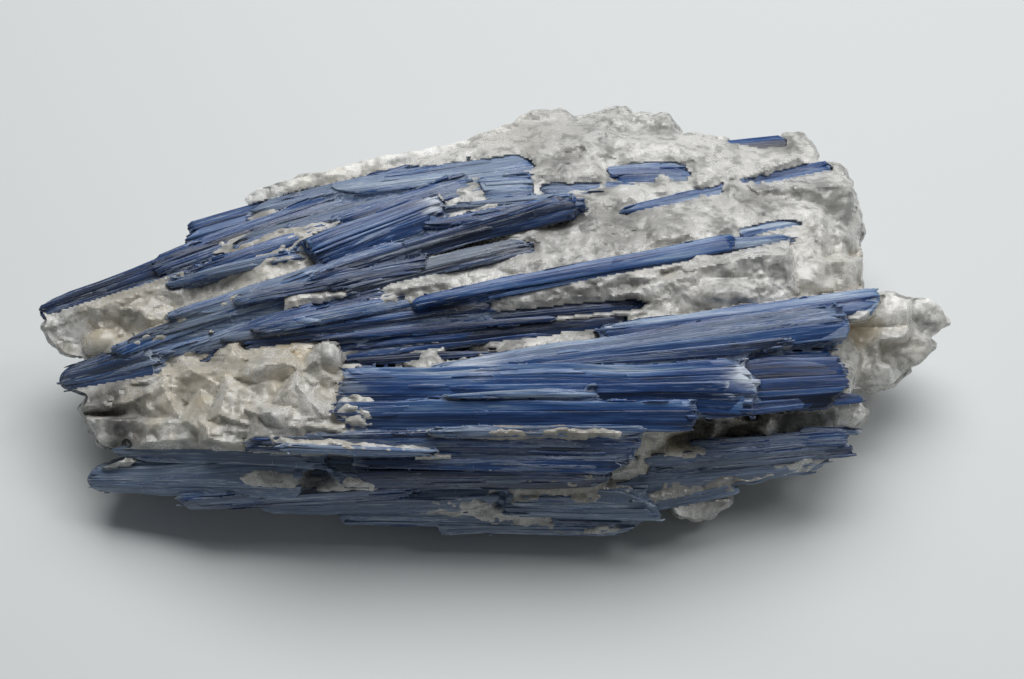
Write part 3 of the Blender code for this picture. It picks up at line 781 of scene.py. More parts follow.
def slabs_of(b, length, tear, rng):
    """The body under the face, as slabs that stick out a little more or less."""
    slabs = []
    top = -STRIP_DEPTH + 0.1
    while top > -b.thick + 0.4:
        deep = rng.uniform(0.5, 1.5) * SLAB
        half = 0.5 * b.width + rng.uniform(-0.10, 0.06)
        bottom = max(top - deep - 0.2, -b.thick)
        pull = rng.exponential(0.4 * tear, 2)
        start = pull[0] + worn_back(b, -0.5 * (top + bottom))
        slabs.append(Sheet(start, length - pull[1], -half, half, top, bottom, tear * 0.6,
                           0, 0, 0, 0.1))
        top -= deep
    return slabs


def strips_of(b, length, tear, rng):
    """The strips that make the face of a blade."""
    strips = []
    edges = parted(b.width, STRIP_WIDTH, rng)
    for left, right in zip(edges, edges[1:]):
        pull = rng.exponential(0.35 * tear, 2)
        pull *= rng.random(2) < 0.8
        low, slope = crown(b, 0.5 * (left + right))
        top = -0.28 - low + rng.normal(0, 0.03)
        start = pull[0] + worn_back(b, 0.5)
        strips.append(Sheet(start, length - pull[1], left - 0.05, right + 0.05, top,
                            top - STRIP_DEPTH, tear, slope + rng.normal(0, 0.035), 0, 0,
                            0.45))
    return strips


def layers_of(b, length, tear, rng):
    """Loose sheets on the face, longer than wide and anywhere on it."""
    layers = []
    count = round(b.width * length * LOOKS[b.look].loose * rng.uniform(0.5, 0.9))
    for _ in range(count):
        run = min(length * 0.9, rng.lognormal(2.35, 0.55))
        wide = min(b.width * 0.8, rng.lognormal(-0.3, 0.6))
        start = rng.uniform(-0.2, 1.0) * (length - run)
        start = min(max(start, rng.exponential(1.5)), length - run)
        middle = rng.uniform(-0.5, 0.5) * (b.width - wide)
        low, slope = crown(b, middle)
        top = -low - rng.uniform(0.13, 0.27)
        layers.append(Sheet(start, start + run, middle - wide / 2, middle + wide / 2, top,
                            top - LOOSE_DEPTH, 1.5 * tear, slope + rng.normal(0, 0.04),
                            rng.normal(0, 0.006), rng.normal(0, 0.004), 0.25))
    return layers


def splinters_of(b, length, tear, rng):
    """Thin splinters beside the blade and at its two torn ends."""
    splinters = []
    for _ in range(round(length * SPLINTERS_PER_RUN)):
        run = min(rng.lognormal(1.6, 0.5), 0.8 * length)
        wide = rng.uniform(0.12, 0.5)
        start = rng.uniform(-0.5, length - 0.5 * run)
        side = rng.choice((-1, 1)) * (0.5 * b.width + rng.normal(0, 0.18))
        top = -crown(b, side)[0] - abs(rng.normal(0, 0.6))
        splinters.append(Sheet(start, min(start + run, length + 0.8), side - wide / 2,
                               side + wide / 2, top, top - 0.4, 1.0, rng.normal(0, 0.3),
                               rng.normal(0, 0.02), rng.normal(0, 0.02), 0.2))
    for _ in range(round(b.width * b.thick * SPLINTERS_PER_END)):
        reach = rng.uniform(2, 6)
        wide = rng.uniform(0.15, 0.6)
        middle = rng.uniform(-0.5, 0.5) * b.width
        top = -rng.uniform(0, 0.9) * b.thick
        beyond = rng.exponential(0.35) - 0.4
        at_tail = rng.random() < 0.5 and not b.worn
        ends = (-beyond, reach) if at_tail else (length - reach, length + beyond)
        splinters.append(Sheet(*ends, middle - wide / 2, middle + wide / 2, top, top - 0.35,
                               0.8, rng.normal(0, 0.2), rng.normal(0, 0.02), 0, 0.15))
    return splinters


# %% [markdown]
# Within a blade the tone changes too: paler where the face is bruised, darker where it is
# whole, with films where sheets were pulled off, grey where it weathered and white fibres where
# it was crushed. Some pale spots are painted light on faces that lean to the front, and some
# white spots are painted glints on the pale blade's tail and on the bright rod.

# %% Spots of tone, film, painted light and glints on the blades
# Paler, bruised faces, and painted light that lightens some faces which lean to the front.
PALE_AND_PAINTED_LIGHT_SPOTS = [
    spot(-44, 5, 25, 7, 0.8), spot(-32, 5.5, 27, 5, 0.6), spot(-4, 26, 29, 6, 0.5),
    spot(8, 24, 30, 6, 0.5), spot(-12, -4.5, 27, 6, 0.8), spot(15, -1, 29, 9, 0.6),
    spot(-14, -7, 28, 8, 0.8), spot(30, 15, 31, 6, 0.6), spot(-2, -9, 28, 7, 0.5),
    spot(-60, -23, 12, 12, 0.6), spot(-20, 1, 26, 8, 0.6), spot(-10, -12.5, 27, 9, 0.4),
]
DARK_SPOTS = [
    spot(-69, 9, 22, 9, 0.7), spot(-55, 13, 25, 7, 0.6), spot(-48, 15, 26, 6, 0.5),
    spot(-28, 14, 29, 5, 0.4), spot(-33, 22, 27, 6, 0.3), spot(-10, 15, 30, 6, 0.5),
    spot(-40, -21, 16, 8, 0.2), spot(5, 20, 31, 5, 0.4),
    spot(-11, 8, 29, 6, 0.9), spot(-24, 9, 28, 5, 0.4),
]
FILM_SPOTS = [
    spot(-26, -9, 26, 5), spot(-32, -14, 24, 8, 0.9), spot(-50, -18, 17, 14, 0.6),
    spot(35, -5, 30, 6, 0.5), spot(27, -11, 28, 5, 0.3), spot(-48, 2, 24, 8, 0.8),
    spot(-60, 0, 21, 7, 0.6), spot(-42, 9, 27, 7, 0.7), spot(-5, 25, 29, 8, 0.8),
    spot(6, 24, 30, 6, 0.8), spot(-30, 26, 27, 9, 0.5), spot(0, -14, 27, 10, 0.15),
    spot(20, -24, 15, 12, 0.7), spot(-5, -29, 9, 14, 0.7), spot(45, -19, 14, 10, 0.7),
    spot(-66, -22, 11, 11, 0.9), spot(-32, -24, 14, 12, 0.7), spot(36, -20, 16, 10, 0.6),
]
GREY_SPOTS = [
    spot(-72, -6, 17, 8), spot(-45, 2, 24, 8, 0.6), spot(-14, 14, 30, 7, 0.6),
    spot(-28, 10, 28, 7, 0.5), spot(-60, -22, 12, 16, 0.7), spot(-5, -29, 9, 20, 0.8),
    spot(20, -24, 15, 14, 0.8), spot(-20, -22, 20, 14, 0.5), spot(35, 0, 29, 7, 0.5),
    spot(20, -1, 29, 6, 0.5), spot(-28, -12, 25, 8, 0.7), spot(45, -18, 14, 12, 0.5),
]
# Frayed fibres at torn ends, and painted glints: the white flash on the pale blade's tail and the
# highlight on the bright rod.
FRAY_AND_GLINT_SPOTS = [
    spot(-4.5, -3.6, 28, 5, 0.8), spot(-32.5, 13, 30, 2.2, 0.8), spot(-12.5, 22, 31.5, 2.6, 0.8),
    spot(38, -6.5, 29.5, 4.5, 0.8), spot(56.5, -8, 23, 3, 0.5), spot(21, -18, 24, 2, 0.5),
    spot(55, -15.5, 16, 3, 0.5), spot(22, -30, 8, 4, 0.4), spot(-30, 5, 27.5, 3, 0.5),
    spot(3, 24, 30, 3, 0.5), spot(33, 16, 31, 2, 0.4), spot(-27, -6.5, 27, 3, 0.6),
    spot(-28, -12, 26, 3, 0.5), spot(-13, -5.5, 27.5, 3.5, 0.7), spot(-8, -4.6, 27.5, 3, 0.8),
]


def shade_of(points, look, own):
    """The notes of a sheet's points: tone with painted light from the pale spots, film and how
    grey it is.
    """
    tone = (look.tone + own + 0.22 * spread(points, PALE_AND_PAINTED_LIGHT_SPOTS, 81)
            - 0.20 * spread(points, DARK_SPOTS, 82))
    film = look.film + 0.6 * spread(points, FILM_SPOTS, 83)
    grey = np.maximum(look.slate, 0.75 * spread(points, GREY_SPOTS, 84))
    return tone, film, grey


# %% [markdown]
# ## From a blade's own frame to the part's
# The sheets are made flat and straight. A share narrows them towards the blade's ends, the
# blade's axes put them in place, and a slow noise bends all blades a little together. The two
# sides of a blade also waver in and out along it, and its ends are drawn to a blunt point.

# %% Build the sprays
LINE_PITCH = 0.34
POINT = 2.6
WAVER, WAVER_SIZE = 0.32, (7.0, 9.0, 9.0)
BEND, BEND_SIZE = 0.9, (34.0, 26.0, 26.0)
# What makes a family of sheets, how far apart its lines lie, how uneven they are, and its fray.
FAMILIES = ((slabs_of, 0.9, 0.02, 0.5), (strips_of, LINE_PITCH, 0.014, 0.8),
            (layers_of, LINE_PITCH, 0.012, 1.0), (splinters_of, LINE_PITCH, 0.02, 0.8))


def blade_frame(b):
    """The blade's own axes: along its length, across its face, and out of its face."""
    along = (b.tip - b.tail).normalized()
    out = (Vector((0, 0, 1)) - along * along.z).normalized()
    out = Matrix.Rotation(math.radians(b.lean), 3, along) @ out
    return along, out.cross(along), out


def bend(points):
    """How far the whole piece is bent out of true at each point."""
    return np.stack([(soft_noise(points, BEND_SIZE, 700 + axis) - 0.5) * BEND
                     for axis in range(3)], axis=-1)


def place_points(b, length, points):
    """Blade coordinates to millimetres in the part's frame."""
    along, across, out = (np.array(axis) for axis in blade_frame(b))
    share = b.tail_share + (b.tip_share - b.tail_share) * points[..., 0] / length
    beside = np.stack((points[..., 0], np.sign(points[..., 1]) * 20, points[..., 2]), axis=-1)
    waver = soft_noise(beside, WAVER_SIZE, int(length * 97)) - 0.5
    share = share * (1 + WAVER * waver)
    deep = np.where(points[..., 2] < -0.8, 0.55 + 0.45 * share, 1.0)
    placed = (np.array(b.tail) + points[..., 0:1] * along
              + (points[..., 1] * share)[..., None] * across
              + (points[..., 2] * deep)[..., None] * out)
    return placed + bend(placed)


def add_blade(sheaf, b, seed):
    """Adds one blade's sheets to a sheaf."""
    rng = np.random.default_rng(seed)
    look = LOOKS[b.look]
    length = (b.tip - b.tail).length
    tear = look.tear * min(1.0, length / 25)
    point = min(POINT, 0.1 * length)
    tail_point, tip_point = ((rng.uniform(0.2, 1.1) * point, rng.uniform(-0.8, 0.8))
                             for _ in range(2))
    for make, pitch, rib, fray in FAMILIES:
        for sheet in make(b, length, tear, rng):
            def behind(across, rng, sheet=sheet):
                """How far the lines of this sheet stay behind, at its tail and at its tip."""
                torn = [torn_ends(across, sheet.tear * 0.5, rng) for _ in range(2)]
                if b.worn:
                    torn[0] = 0.4 * torn[0] + round_ends(across, b.width + 0.4)
                else:
                    torn[0] = torn[0] + tail_point[0] * (2 * across / b.width - tail_point[1]) ** 2
                return torn[0], torn[1] + tip_point[0] * (2 * across / b.width - tip_point[1]) ** 2

            points = sheet_points(sheet, behind, pitch, rib, rng)
            whole, quads, underside = sheet_shell(points, sheet.bottom, rng)
            grain = whole.copy()
            grain[:, 2] = seed * 7.31 + sheet.top * 0.7
            torn = fray_of(*points.shape[:2], fray * rng.uniform(0.3, 1.0))
            placed = place_points(b, length, whole)
            # The white spots add frayed fibres, and painted glints on the pale blade's tail and
            # the bright rod.
            torn = np.maximum(torn, spread(placed, FRAY_AND_GLINT_SPOTS, 85))
            tone, film, grey = shade_of(placed, look, rng.normal(0, 0.09))
            notes = np.stack((tone, film + rng.normal(0, 0.12), torn), axis=-1)
            sheaf.add(placed, grain, notes, grey, quads, underside)


def add_piece(name, mesh, finish, nodes):
    """Puts a finished mesh in the scene, in place of the solids it stands for."""
    piece = bpy.data.objects.new(name, mesh)
    scene.collection.objects.link(piece)
    mesh.materials.append(finish)
    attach(piece, "root")
    if nodes:
        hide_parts(*nodes)
    mesh.calc_loop_triangles()
    print(name, len(mesh.loop_triangles), "triangles")
    return piece


seed = 0
blade_pieces = []
for node, rows in SPRAYS.items():
    sheaf = Sheaf()
    for b in rows:
        seed += 1
        add_blade(sheaf, b, seed)
    blade_pieces.append(add_piece(node + "_sheets", sheaf.mesh(node), KYANITE, [node]))

# %% [markdown]
# ## The broken quartz
# The quartz solid is remeshed evenly, swelled a little to close the hairline round the blades,
# and then broken. Quartz breaks in shallow scoops that meet in sharp crests: the squared
# distance to the nearest of many seed points gives just that. A distance measured in turned
# boxes gives flat-topped blocks, and both are added, each in two sizes.

# %% Scoops and blocks
# Each has the size of a cell, the height of its relief and a seed.
SCOOPS = ((4.5, 0.5, 11), (2.1, 0.3, 12))
FACETS = ((3.6, 1.0, 31), (1.7, 0.5, 32))


def near_cells(points, size, seed):
    """For each point, each cell round it: the cell and the way from its seed point."""
    at = points / size
    cell = np.floor(at)
    for step in itertools.product((-1, 0, 1), repeat=3):
        other = cell + step
        jitter = np.stack([scrambled(other, seed + k) for k in range(3)], axis=-1)
        yield other, at - (other + jitter)


def random_axes(cells, seed):
    """A random direction for each cell."""
    raw = np.stack([scrambled(cells, seed + k) for k in range(3)], axis=-1) * 2 - 1
    return raw / np.maximum(np.linalg.norm(raw, axis=-1, keepdims=True), 0.01)


def scoop_depth(points, size, seed):
    """The squared distance to the nearest seed point: smooth bowls that meet in crests."""
    nearest = np.full(len(points), 9.0)
    for _, away in near_cells(points, size, seed):
        nearest = np.minimum(nearest, (away * away).sum(axis=-1))
    return np.minimum(nearest, 1.0)


def block_height(points, size, seed):
    """How far a turned box stands out at each point: 0 in the creases, 1 on its flat top."""
    nearest = np.full(len(points), 9.0)
    for cells, away in near_cells(points, size, seed):
        first = random_axes(cells, seed + 3)
        second = np.cross(first, random_axes(cells, seed + 6))
        second /= np.maximum(np.linalg.norm(second, axis=-1, keepdims=True), 0.01)
        reach = np.zeros(len(points))
        for axis in (first, second, np.cross(first, second)):
            reach = np.maximum(reach, np.abs((away * axis).sum(axis=-1)))
        nearest = np.minimum(nearest, reach)
    return np.clip((0.85 - nearest) / 0.5, 0, 1)


# %% [markdown]
# Stains, crushed faces and quiet stretches follow no rule on a real piece, so they are spots as
# well. Smoke spots are partly dark stains and partly painted shade, in the notch at the left end
# and in the gap under the deep blue blade. Deep spots are the pockets that the quartz face sinks
# into, and calm spots the places where it is broken less.

# %% Stains and painted shade of the quartz
CREAM_SPOTS = [
    spot(-45, -5, 20, 18), spot(-56, -7, 18, 12), spot(-36, -8, 21, 12),
    spot(-66, 0, 18, 5), spot(50, 10, 22, 10, 0.5), spot(58, -1, 14, 9, 0.7),
    spot(24, -18, 18, 8, 0.8), spot(26, 8, 24, 9, 0.5), spot(-28, 30, 26, 14, 0.4),
    spot(0, 34, 26, 12, 0.3), spot(6, -15, 27, 18, 0.8), spot(-31, -17, 24, 9, 0.7),
    spot(26.5, -18, 22, 6), spot(-62, 4, 20, 14, 0.8), spot(-40, 14, 26, 12, 0.5),
    spot(40, -1.4, 28, 6, 0.8),
]
AMBER_SPOTS = [
    spot(-49, -11, 18, 4.5), spot(-35, -3.3, 22, 4), spot(-67, 0, 18, 4),
    spot(54, 2, 18, 6, 0.9), spot(54, 13, 18, 5, 0.8), spot(28, -16, 18, 4, 0.7),
    spot(36, -14, 19, 9, 0.6), spot(49, -13, 20, 5, 0.7),
]
# Smoke: dark stains, and painted shade in the notch at the left end and in the gap under the deep
# blue blade.
SMOKE_AND_SHADE_SPOTS = [
    spot(14, 14, 28, 8, 0.30), spot(18, 20, 28, 8, 0.20), spot(14, 33, 26, 8, 0.10),
    spot(-66, -12, 12, 7), spot(-62, -8, 14, 5), spot(18, 7.5, 25, 5, 0.7),
    spot(12, 2, 24, 6, 0.7), spot(33, -14, 19, 6), spot(42, -13, 18, 7, 0.9),
    spot(-20, -27, 11, 8, 0.6), spot(0, -25, 13, 8, 0.5), spot(44, 30, 24, 4, 0.5),
    spot(-45, 13, 26, 8, 0.4), spot(9, 28, 28, 7, 0.6), spot(16, 18, 29, 9, 0.65),
    spot(-3, -0.5, 24, 9, 0.8), spot(8, 7.5, 26, 9, 0.6), spot(5, 17, 29, 8, 0.6),
    spot(24, 19, 29, 7, 0.55), spot(40, 22.5, 28, 7, 0.5), spot(28, 12, 29, 5, 0.35),
    spot(-67, -10, 17, 7), spot(-63, -13, 17, 6, 0.9), spot(-60, -8, 18, 4, 0.6),
    spot(-42, 16, 26, 9, 0.45), spot(-34, -23, 17, 14, 0.3), spot(10, -25, 15, 16, 0.6),
    spot(35, -22, 14, 14, 0.5), spot(6, -15, 27, 17, 0.55), spot(8, 33, 27, 14, 0.25),
    spot(-60, 6, 22, 9, 0.3), spot(36, -14, 19, 9, 0.8), spot(-53, 4, 24, 8, 0.4),
]
CRUSH_SPOTS = [
    spot(-57, -10, 17, 5), spot(-70, 1, 18, 5, 0.8), spot(-35, -8, 22, 5, 0.8),
    spot(30, 25, 27, 7, 0.3), spot(-9, -5, 27, 4, 0.6), spot(46, 28, 26, 4, 0.7),
]
DEEP_SPOTS = [
    spot(28, -14.5, 20, 6), spot(37, -14, 19, 6), spot(46, -13.5, 18, 6),
    spot(-66, -14, 11, 6, 0.6), spot(-20, -5, 22, 4), spot(-8, -1, 24, 4),
]
CALM_SPOTS = [
    spot(50, 22, 24, 12), spot(44, 12, 26, 12), spot(33, 8, 27, 9), spot(62, 0, 16, 12),
    spot(70, 4, 14, 8), spot(-45, -8, 20, 14), spot(-57, -8, 17, 7), spot(-69, 3, 18, 6),
    spot(-30, 27, 26, 12), spot(-12, 30, 26, 12), spot(6, 34, 27, 14), spot(22, 31, 27, 10),
]


def quartz_notes(mesh, points):
    """Stores where a quartz mesh is stained, darkened by painted shade, and crushed."""
    stain = [spread(points, spots, seed) for seed, spots in
             enumerate((CREAM_SPOTS, AMBER_SPOTS, SMOKE_AND_SHADE_SPOTS), 40)]
    note(mesh, "stain", np.stack(stain, axis=-1))
    note(mesh, "crush", 0.15 + 0.85 * spread(points, CRUSH_SPOTS, 50))


# %% [markdown]
# The relief fades out over the lowest millimetre and a half, so that the base stays flat and the
# piece rests where the solids do. Two spots along the back edge are shaved lower.

# %% Break the quartz mass
SWELL = 0.35
VOXEL = 0.6
RESTING_SKIN = 1.5
SHAVED_BY = 2.2
CREASE = math.radians(20)
SHAVED = [spot(-34, 27.5, 26, 8), spot(-30, 28, 26, 6)]


def evaluated(obj):
    """The mesh of an object with its modifiers applied."""
    graph = bpy.context.evaluated_depsgraph_get()
    return bpy.data.meshes.new_from_object(obj.evaluated_get(graph))


def points_of(mesh):
    """The vertices of a mesh as an array, in millimetres."""
    values = np.empty(len(mesh.vertices) * 3, np.float32)
    mesh.vertices.foreach_get("co", values)
    return values.reshape(-1, 3).astype(float) / MM


def relief(points):
    """How far the broken face of the quartz stands out at each point."""
    calm = 1 - 0.6 * spread(points, CALM_SPOTS, 64)
    amount = np.zeros(len(points))
    for size, height, seed in SCOOPS:
        amount += (scoop_depth(points, size, seed) - 0.35) * height
    for size, height, seed in FACETS:
        amount += (block_height(points, size, seed) - 0.5) * height
    return amount * calm


def broken_quartz():
    """The quartz mass as a mesh of broken faces."""
    rough = bpy.data.objects.new("rough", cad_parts["quartz_matrix"].data.copy())
    scene.collection.objects.link(rough)
    remesh = rough.modifiers.new("remesh", "REMESH")
    remesh.mode = "VOXEL"
    remesh.voxel_size = VOXEL * MM
    swell = rough.modifiers.new("swell", "DISPLACE")
    swell.strength = SWELL * MM
    swell.mid_level = 0
    even = evaluated(rough)
    bpy.data.objects.remove(rough)
    points = points_of(even)
    out = np.array([v.normal[:] for v in even.vertices])
    lift = np.clip(points[:, 2] / RESTING_SKIN, 0, 1)
    amount = relief(points) - SHAVED_BY * spread(points, SHAVED, 68)
    points = points + out * (amount * lift)[:, None]
    points[:, 2] = np.maximum(points[:, 2], 0.0)
    set_points(even, points)
    even.update()
    return even


quartz_mesh = broken_quartz()
quartz_mesh.name = "quartz_matrix"
quartz_mesh.materials.clear()
quartz_mesh.set_sharp_from_angle(angle=CREASE)
quartz_notes(quartz_mesh, points_of(quartz_mesh))
quartz_body = add_piece("quartz_mass", quartz_mesh, QUARTZ, ["quartz_matrix"])

# %% [markdown]
# ## The display side of the quartz
# On the display side quartz lies flush with the blades: it fills the seams between them, laps
# over their edges here and there and stands in blocks in the pocket. That face is made as a map:
# for each step right and up, how far the quartz stands towards the viewer. The blades are mapped
# first, by sight lines, the quartz that would hide them is sunk, and then it is mapped as well.

# %% Maps of the display side
CELL = 0.28
MAP_SPAN = ((-84.0, 82.0), (-38.0, 44.0))
NOTHING, NO_LIMIT = -99.0, 99.0
# Quartz over a level this far under the blades is sunk to that level, if it is thin enough.
SUNK_BY, HIDING_DEPTH = 0.7, 2.6
RIGHTS, UPS = np.meshgrid(np.arange(*MAP_SPAN[0], CELL), np.arange(*MAP_SPAN[1], CELL),
                          indexing="ij")
ONTO = np.array(AIM) + RIGHTS[..., None] * np.array((1, 0, 0)) + UPS[..., None] * np.array(VIEW_UP)


def map_points(heights):
    """The place of each map cell that stands this far towards the viewer."""
    return np.array(EYE) + (ONTO - np.array(EYE)) * (1 - heights / VIEW_DISTANCE)[..., None]


def surface_tree(pieces):
    """One search tree over all these pieces."""
    points, faces = [], []
    for piece in pieces:
        first = len(points)
        points += [v.co[:] for v in piece.data.vertices]
        faces += [[first + i for i in p.vertices] for p in piece.data.polygons]
    return BVHTree.FromPolygons(points, faces)


def seen_map(tree):
    """How far the first thing seen in each map cell stands towards the viewer."""
    heights = np.full(RIGHTS.shape, NOTHING)
    eye = EYE * MM
    for cell in np.ndindex(heights.shape):
        hit = tree.ray_cast(eye, Vector(ONTO[cell]) * MM - eye)[0]
        if hit is not None:
            heights[cell] = (hit / MM - AIM).dot(TO_VIEWER)
    return heights


NEIGHBOURS = [(i, j) for i, j in itertools.product((-1, 0, 1), repeat=2) if i or j]


def shelf_beside(heights, below, slope, reach):
    """A shelf that slopes away on all sides of a map, starting this far below it."""
    shelf = np.where(heights > NOTHING, heights - below, NOTHING)
    falls = [slope * CELL * math.hypot(*step) for step in NEIGHBOURS]
    for _ in range(reach):
        shelf = np.max([shelf] + [np.roll(shelf, step, axis=(0, 1)) - fall
                                  for step, fall in zip(NEIGHBOURS, falls)], axis=0)
    return np.where(shelf > NOTHING / 2, shelf, NOTHING)


def blurred(values, weight, times):
    """A map smoothed over the cells that carry weight."""
    total, share = values * weight, weight.astype(float)
    for _ in range(times):
        for axis in (0, 1):
            total = 0.5 * total + 0.25 * (np.roll(total, 1, axis) + np.roll(total, -1, axis))
            share = 0.5 * share + 0.25 * (np.roll(share, 1, axis) + np.roll(share, -1, axis))
    return np.where(share > 1e-6, total / np.maximum(share, 1e-6), NOTHING)


def widened(mask, cells):
    """A mask grown by some cells all round."""
    grown = mask.astype(float)
    for _ in range(cells):
        for axis in (0, 1):
            grown = np.maximum(grown, np.maximum(np.roll(grown, 1, axis),
                                                 np.roll(grown, -1, axis)))
    return grown > 0.5


def map_cells(points):
    """The map cell that each point is seen in, and how far it stands towards the viewer."""
    way = points - np.array(EYE)
    onto = way * (VIEW_DISTANCE / -(way @ np.array(TO_VIEWER)))[:, None] + np.array(EYE - AIM)
    rights = np.rint((onto[:, 0] - MAP_SPAN[0][0]) / CELL).astype(int)
    ups = np.rint((onto @ np.array(VIEW_UP) - MAP_SPAN[1][0]) / CELL).astype(int)
    cells = (np.clip(rights, 0, RIGHTS.shape[0] - 1), np.clip(ups, 0, RIGHTS.shape[1] - 1))
    return cells, (points - np.array(AIM)) @ np.array(TO_VIEWER)


def sink_under(mesh, heights, thickness):
    """Sinks what stands over a level just under a map, by less than this, to that level."""
    points = points_of(mesh)
    cells, here = map_cells(points)
    above = here - (heights[cells] - SUNK_BY)
    points -= np.where((above > 0) & (above < thickness), above, 0)[:, None] * np.array(TO_VIEWER)
    set_points(mesh, points)
    mesh.update()


blade_map = seen_map(surface_tree(blade_pieces))
sink_under(quartz_body.data, blade_map, HIDING_DEPTH)
quartz_map = seen_map(surface_tree([quartz_body]))
print("map cells with blades:", int((blade_map > NOTHING).sum()),
      "with quartz:", int((quartz_map > NOTHING).sum()))

# %% [markdown]
# Some lumps are known one by one. A block is a tilted flat face with steep sides, and a dome is
# round: the pebble and the yellow knob. Domes along the back edge and at the right end reach out
# beside the solids, so they carry a height of their own. The others stand on the quartz around
# them.

# %% Blocks and domes
Pad = namedtuple("Pad", "right up long wide turn along across lift dome height")
BLOCK_SKIRT, BLOCK_SIDE = 1.5, 1.6
RIM_RISE = 0.5


def block(right, up, long, wide, turn, along=0.0, across=0.0, lift=0.3):
    """A flat face that rises by these shares along it and across it."""
    return Pad(right, up, long, wide, turn, along, across, lift, 0.0, None)


def dome(right, up, long, wide, turn, lift, rise):
    """A round lump, this much higher in the middle than at its rim."""
    return Pad(right, up, long, wide, turn, 0.0, 0.0, lift, rise, None)


def rim(right, up, long, wide, turn, height=26.0):
    """A low dome at a height of its own."""
    return Pad(right, up, long, wide, turn, 0.0, 0.0, 0.0, RIM_RISE, height)


RIM_PADS = [
    rim(-41, 23.8, 6, 2.4, 20), rim(-37.5, 24.8, 7, 2.6, 14), rim(-33, 25.7, 7, 2.8, 14),
    rim(-29, 26.8, 7, 2.8, 15), rim(-25, 27.8, 7, 3, 13), rim(-21, 28.6, 7, 3.2, 11),
    rim(-17, 29.2, 7, 3.2, 10), rim(-13, 29.9, 7, 3.4, 10), rim(-9, 30.6, 7, 3.6, 14),
    rim(-5, 31.8, 7, 4, 20), rim(-1.5, 33, 6, 4, 25),
    rim(67.2, 3.6, 7, 6, -15, 16.5), rim(65.4, -2.2, 6, 4.5, 20, 14.5),
]
BLOCKS = [
    block(-46, -5, 11, 6, -25, 0.12, -0.25, 0.8), block(-38, -6.5, 9, 6, -40, -0.2, 0.22, 1.0),
    block(-52, -8, 8, 5, -30, 0.2, 0.2, 0.6), block(-43, -11.5, 9, 5, -20, 0.1, -0.35, 0.5),
    block(-50, -13, 5, 4.5, -35, 0.3, -0.2, 0.7), block(-35, -11.5, 7, 5, -50, 0.1, 0.3, 0.5),
    block(-57, -6, 7, 4, -20, -0.2, 0.1, 0.5), block(-58, -11.5, 6, 5, -60, 0.2, 0.3, 0.6),
    block(-40, -1.8, 7, 3.5, -10, 0.1, -0.3, 0.8), block(-32, -6.5, 5, 4, -45, -0.3, 0.1, 0.5),
    block(-56, -15, 8, 3, 5, 0.1, -0.3, 0.3), block(-46, -15.5, 8, 3, 5, -0.1, -0.2, 0.3),
    block(-38, -14.5, 8, 3.5, -5, 0.1, -0.3, 0.3),
    block(-70.5, 3, 7, 7.5, -15, 0.2, 0.1, 0.5), block(-64.5, 4.2, 7, 6, 10, -0.15, 0.15, 0.4),
    block(-58, 7, 8, 5, 15, 0.1, -0.2, 0.4), dome(-67.3, -0.6, 5, 3.8, 10, 1.3, 1.0),
    dome(-30.5, -3.1, 4.3, 4.4, 0, 1.8, 1.1),
    block(24, 6, 14, 6, 14, 0.02, -0.1, 0.3), block(37, 10, 16, 6, 12, 0.02, 0.05, 0.3),
    block(50, 22, 9, 9, -20, 0.1, 0.05, 0.4), block(44, 24, 7, 6, 20, -0.15, 0.1, 0.3),
    block(-9, -27.8, 7, 3.6, -8, 0.1, 0.2, 0.6), block(-2.5, -28, 6, 4, 5, -0.2, 0.2, 0.5),
]
print("blocks and domes:", len(BLOCKS), "along the rim:", len(RIM_PADS))

# %% [markdown]
# A lap is a thin crust of grains on top of the blades. It is ragged and thins out to its rim, so
# that the blades show through it in places.

# %% Laps
Lap = namedtuple("Lap", "right up long wide turn lift")
LAPS = [
    Lap(6.2, -15.3, 36, 2.0, 0, 0.5), Lap(-25, -18.1, 26, 1.4, 0, 0.3),
    Lap(-31.5, -17.4, 18, 2.6, -4, 0.5), Lap(-28.5, -12, 9, 7, 0, 0.4),
    Lap(-34, -23.2, 25, 3.0, -3, 0.9), Lap(-7.2, -27.6, 13, 4, -4, 0.5),
    Lap(7.9, -24.9, 18, 3.5, 4, 0.3), Lap(1.6, -30, 9, 2, -3, 0.4),
    Lap(13, -31.4, 14, 1.6, 2, 0.4), Lap(33, -23.9, 16, 2.8, 6, 0.4),
    Lap(46.4, -20.9, 11, 2.4, 10, 0.4), Lap(26.5, -18.2, 10, 2.8, 0, 0.9),
    Lap(48.8, -13.2, 9, 3.2, 6, 0.6), Lap(-39.7, 16.8, 17, 2.0, 12, 0.4),
    Lap(-41, 11.4, 16, 3.6, 28, 0.4), Lap(-50.5, 5.5, 10, 2.4, 25, 0.3),
    Lap(-20, 6.7, 9, 2.6, 12, 0.5), Lap(-41, 20.4, 4, 1.4, 10, 0.4),
    Lap(-8, 24.3, 6, 3, 10, 0.4), Lap(16.4, 24, 11, 3, 6, 0.5),
    Lap(40.6, -1.4, 9, 1.4, 4, 0.4), Lap(-62, -0.5, 9, 2.0, 12, 0.3),
    Lap(-55, -3.2, 8, 1.6, 8, 0.3),
]
print("laps:", len(LAPS))

# %% [markdown]
# Every lump is worked out for all cells at once: how far the cell lies along and across the
# turned lump, and from that its height.

# %% The heights of the lumps
DOME_REACH, LAP_REACH = 1.25, 1.4
LAP_LUMP, LAP_GRAIN = (2.6, 0.9, 1.0), (0.8, 0.7, 1.0)


def turned(lump):
    """How far each map cell lies along and across a lump."""
    turn = math.radians(lump.turn)
    x, y = RIGHTS - lump.right, UPS - lump.up
    return x * math.cos(turn) + y * math.sin(turn), y * math.cos(turn) - x * math.sin(turn)


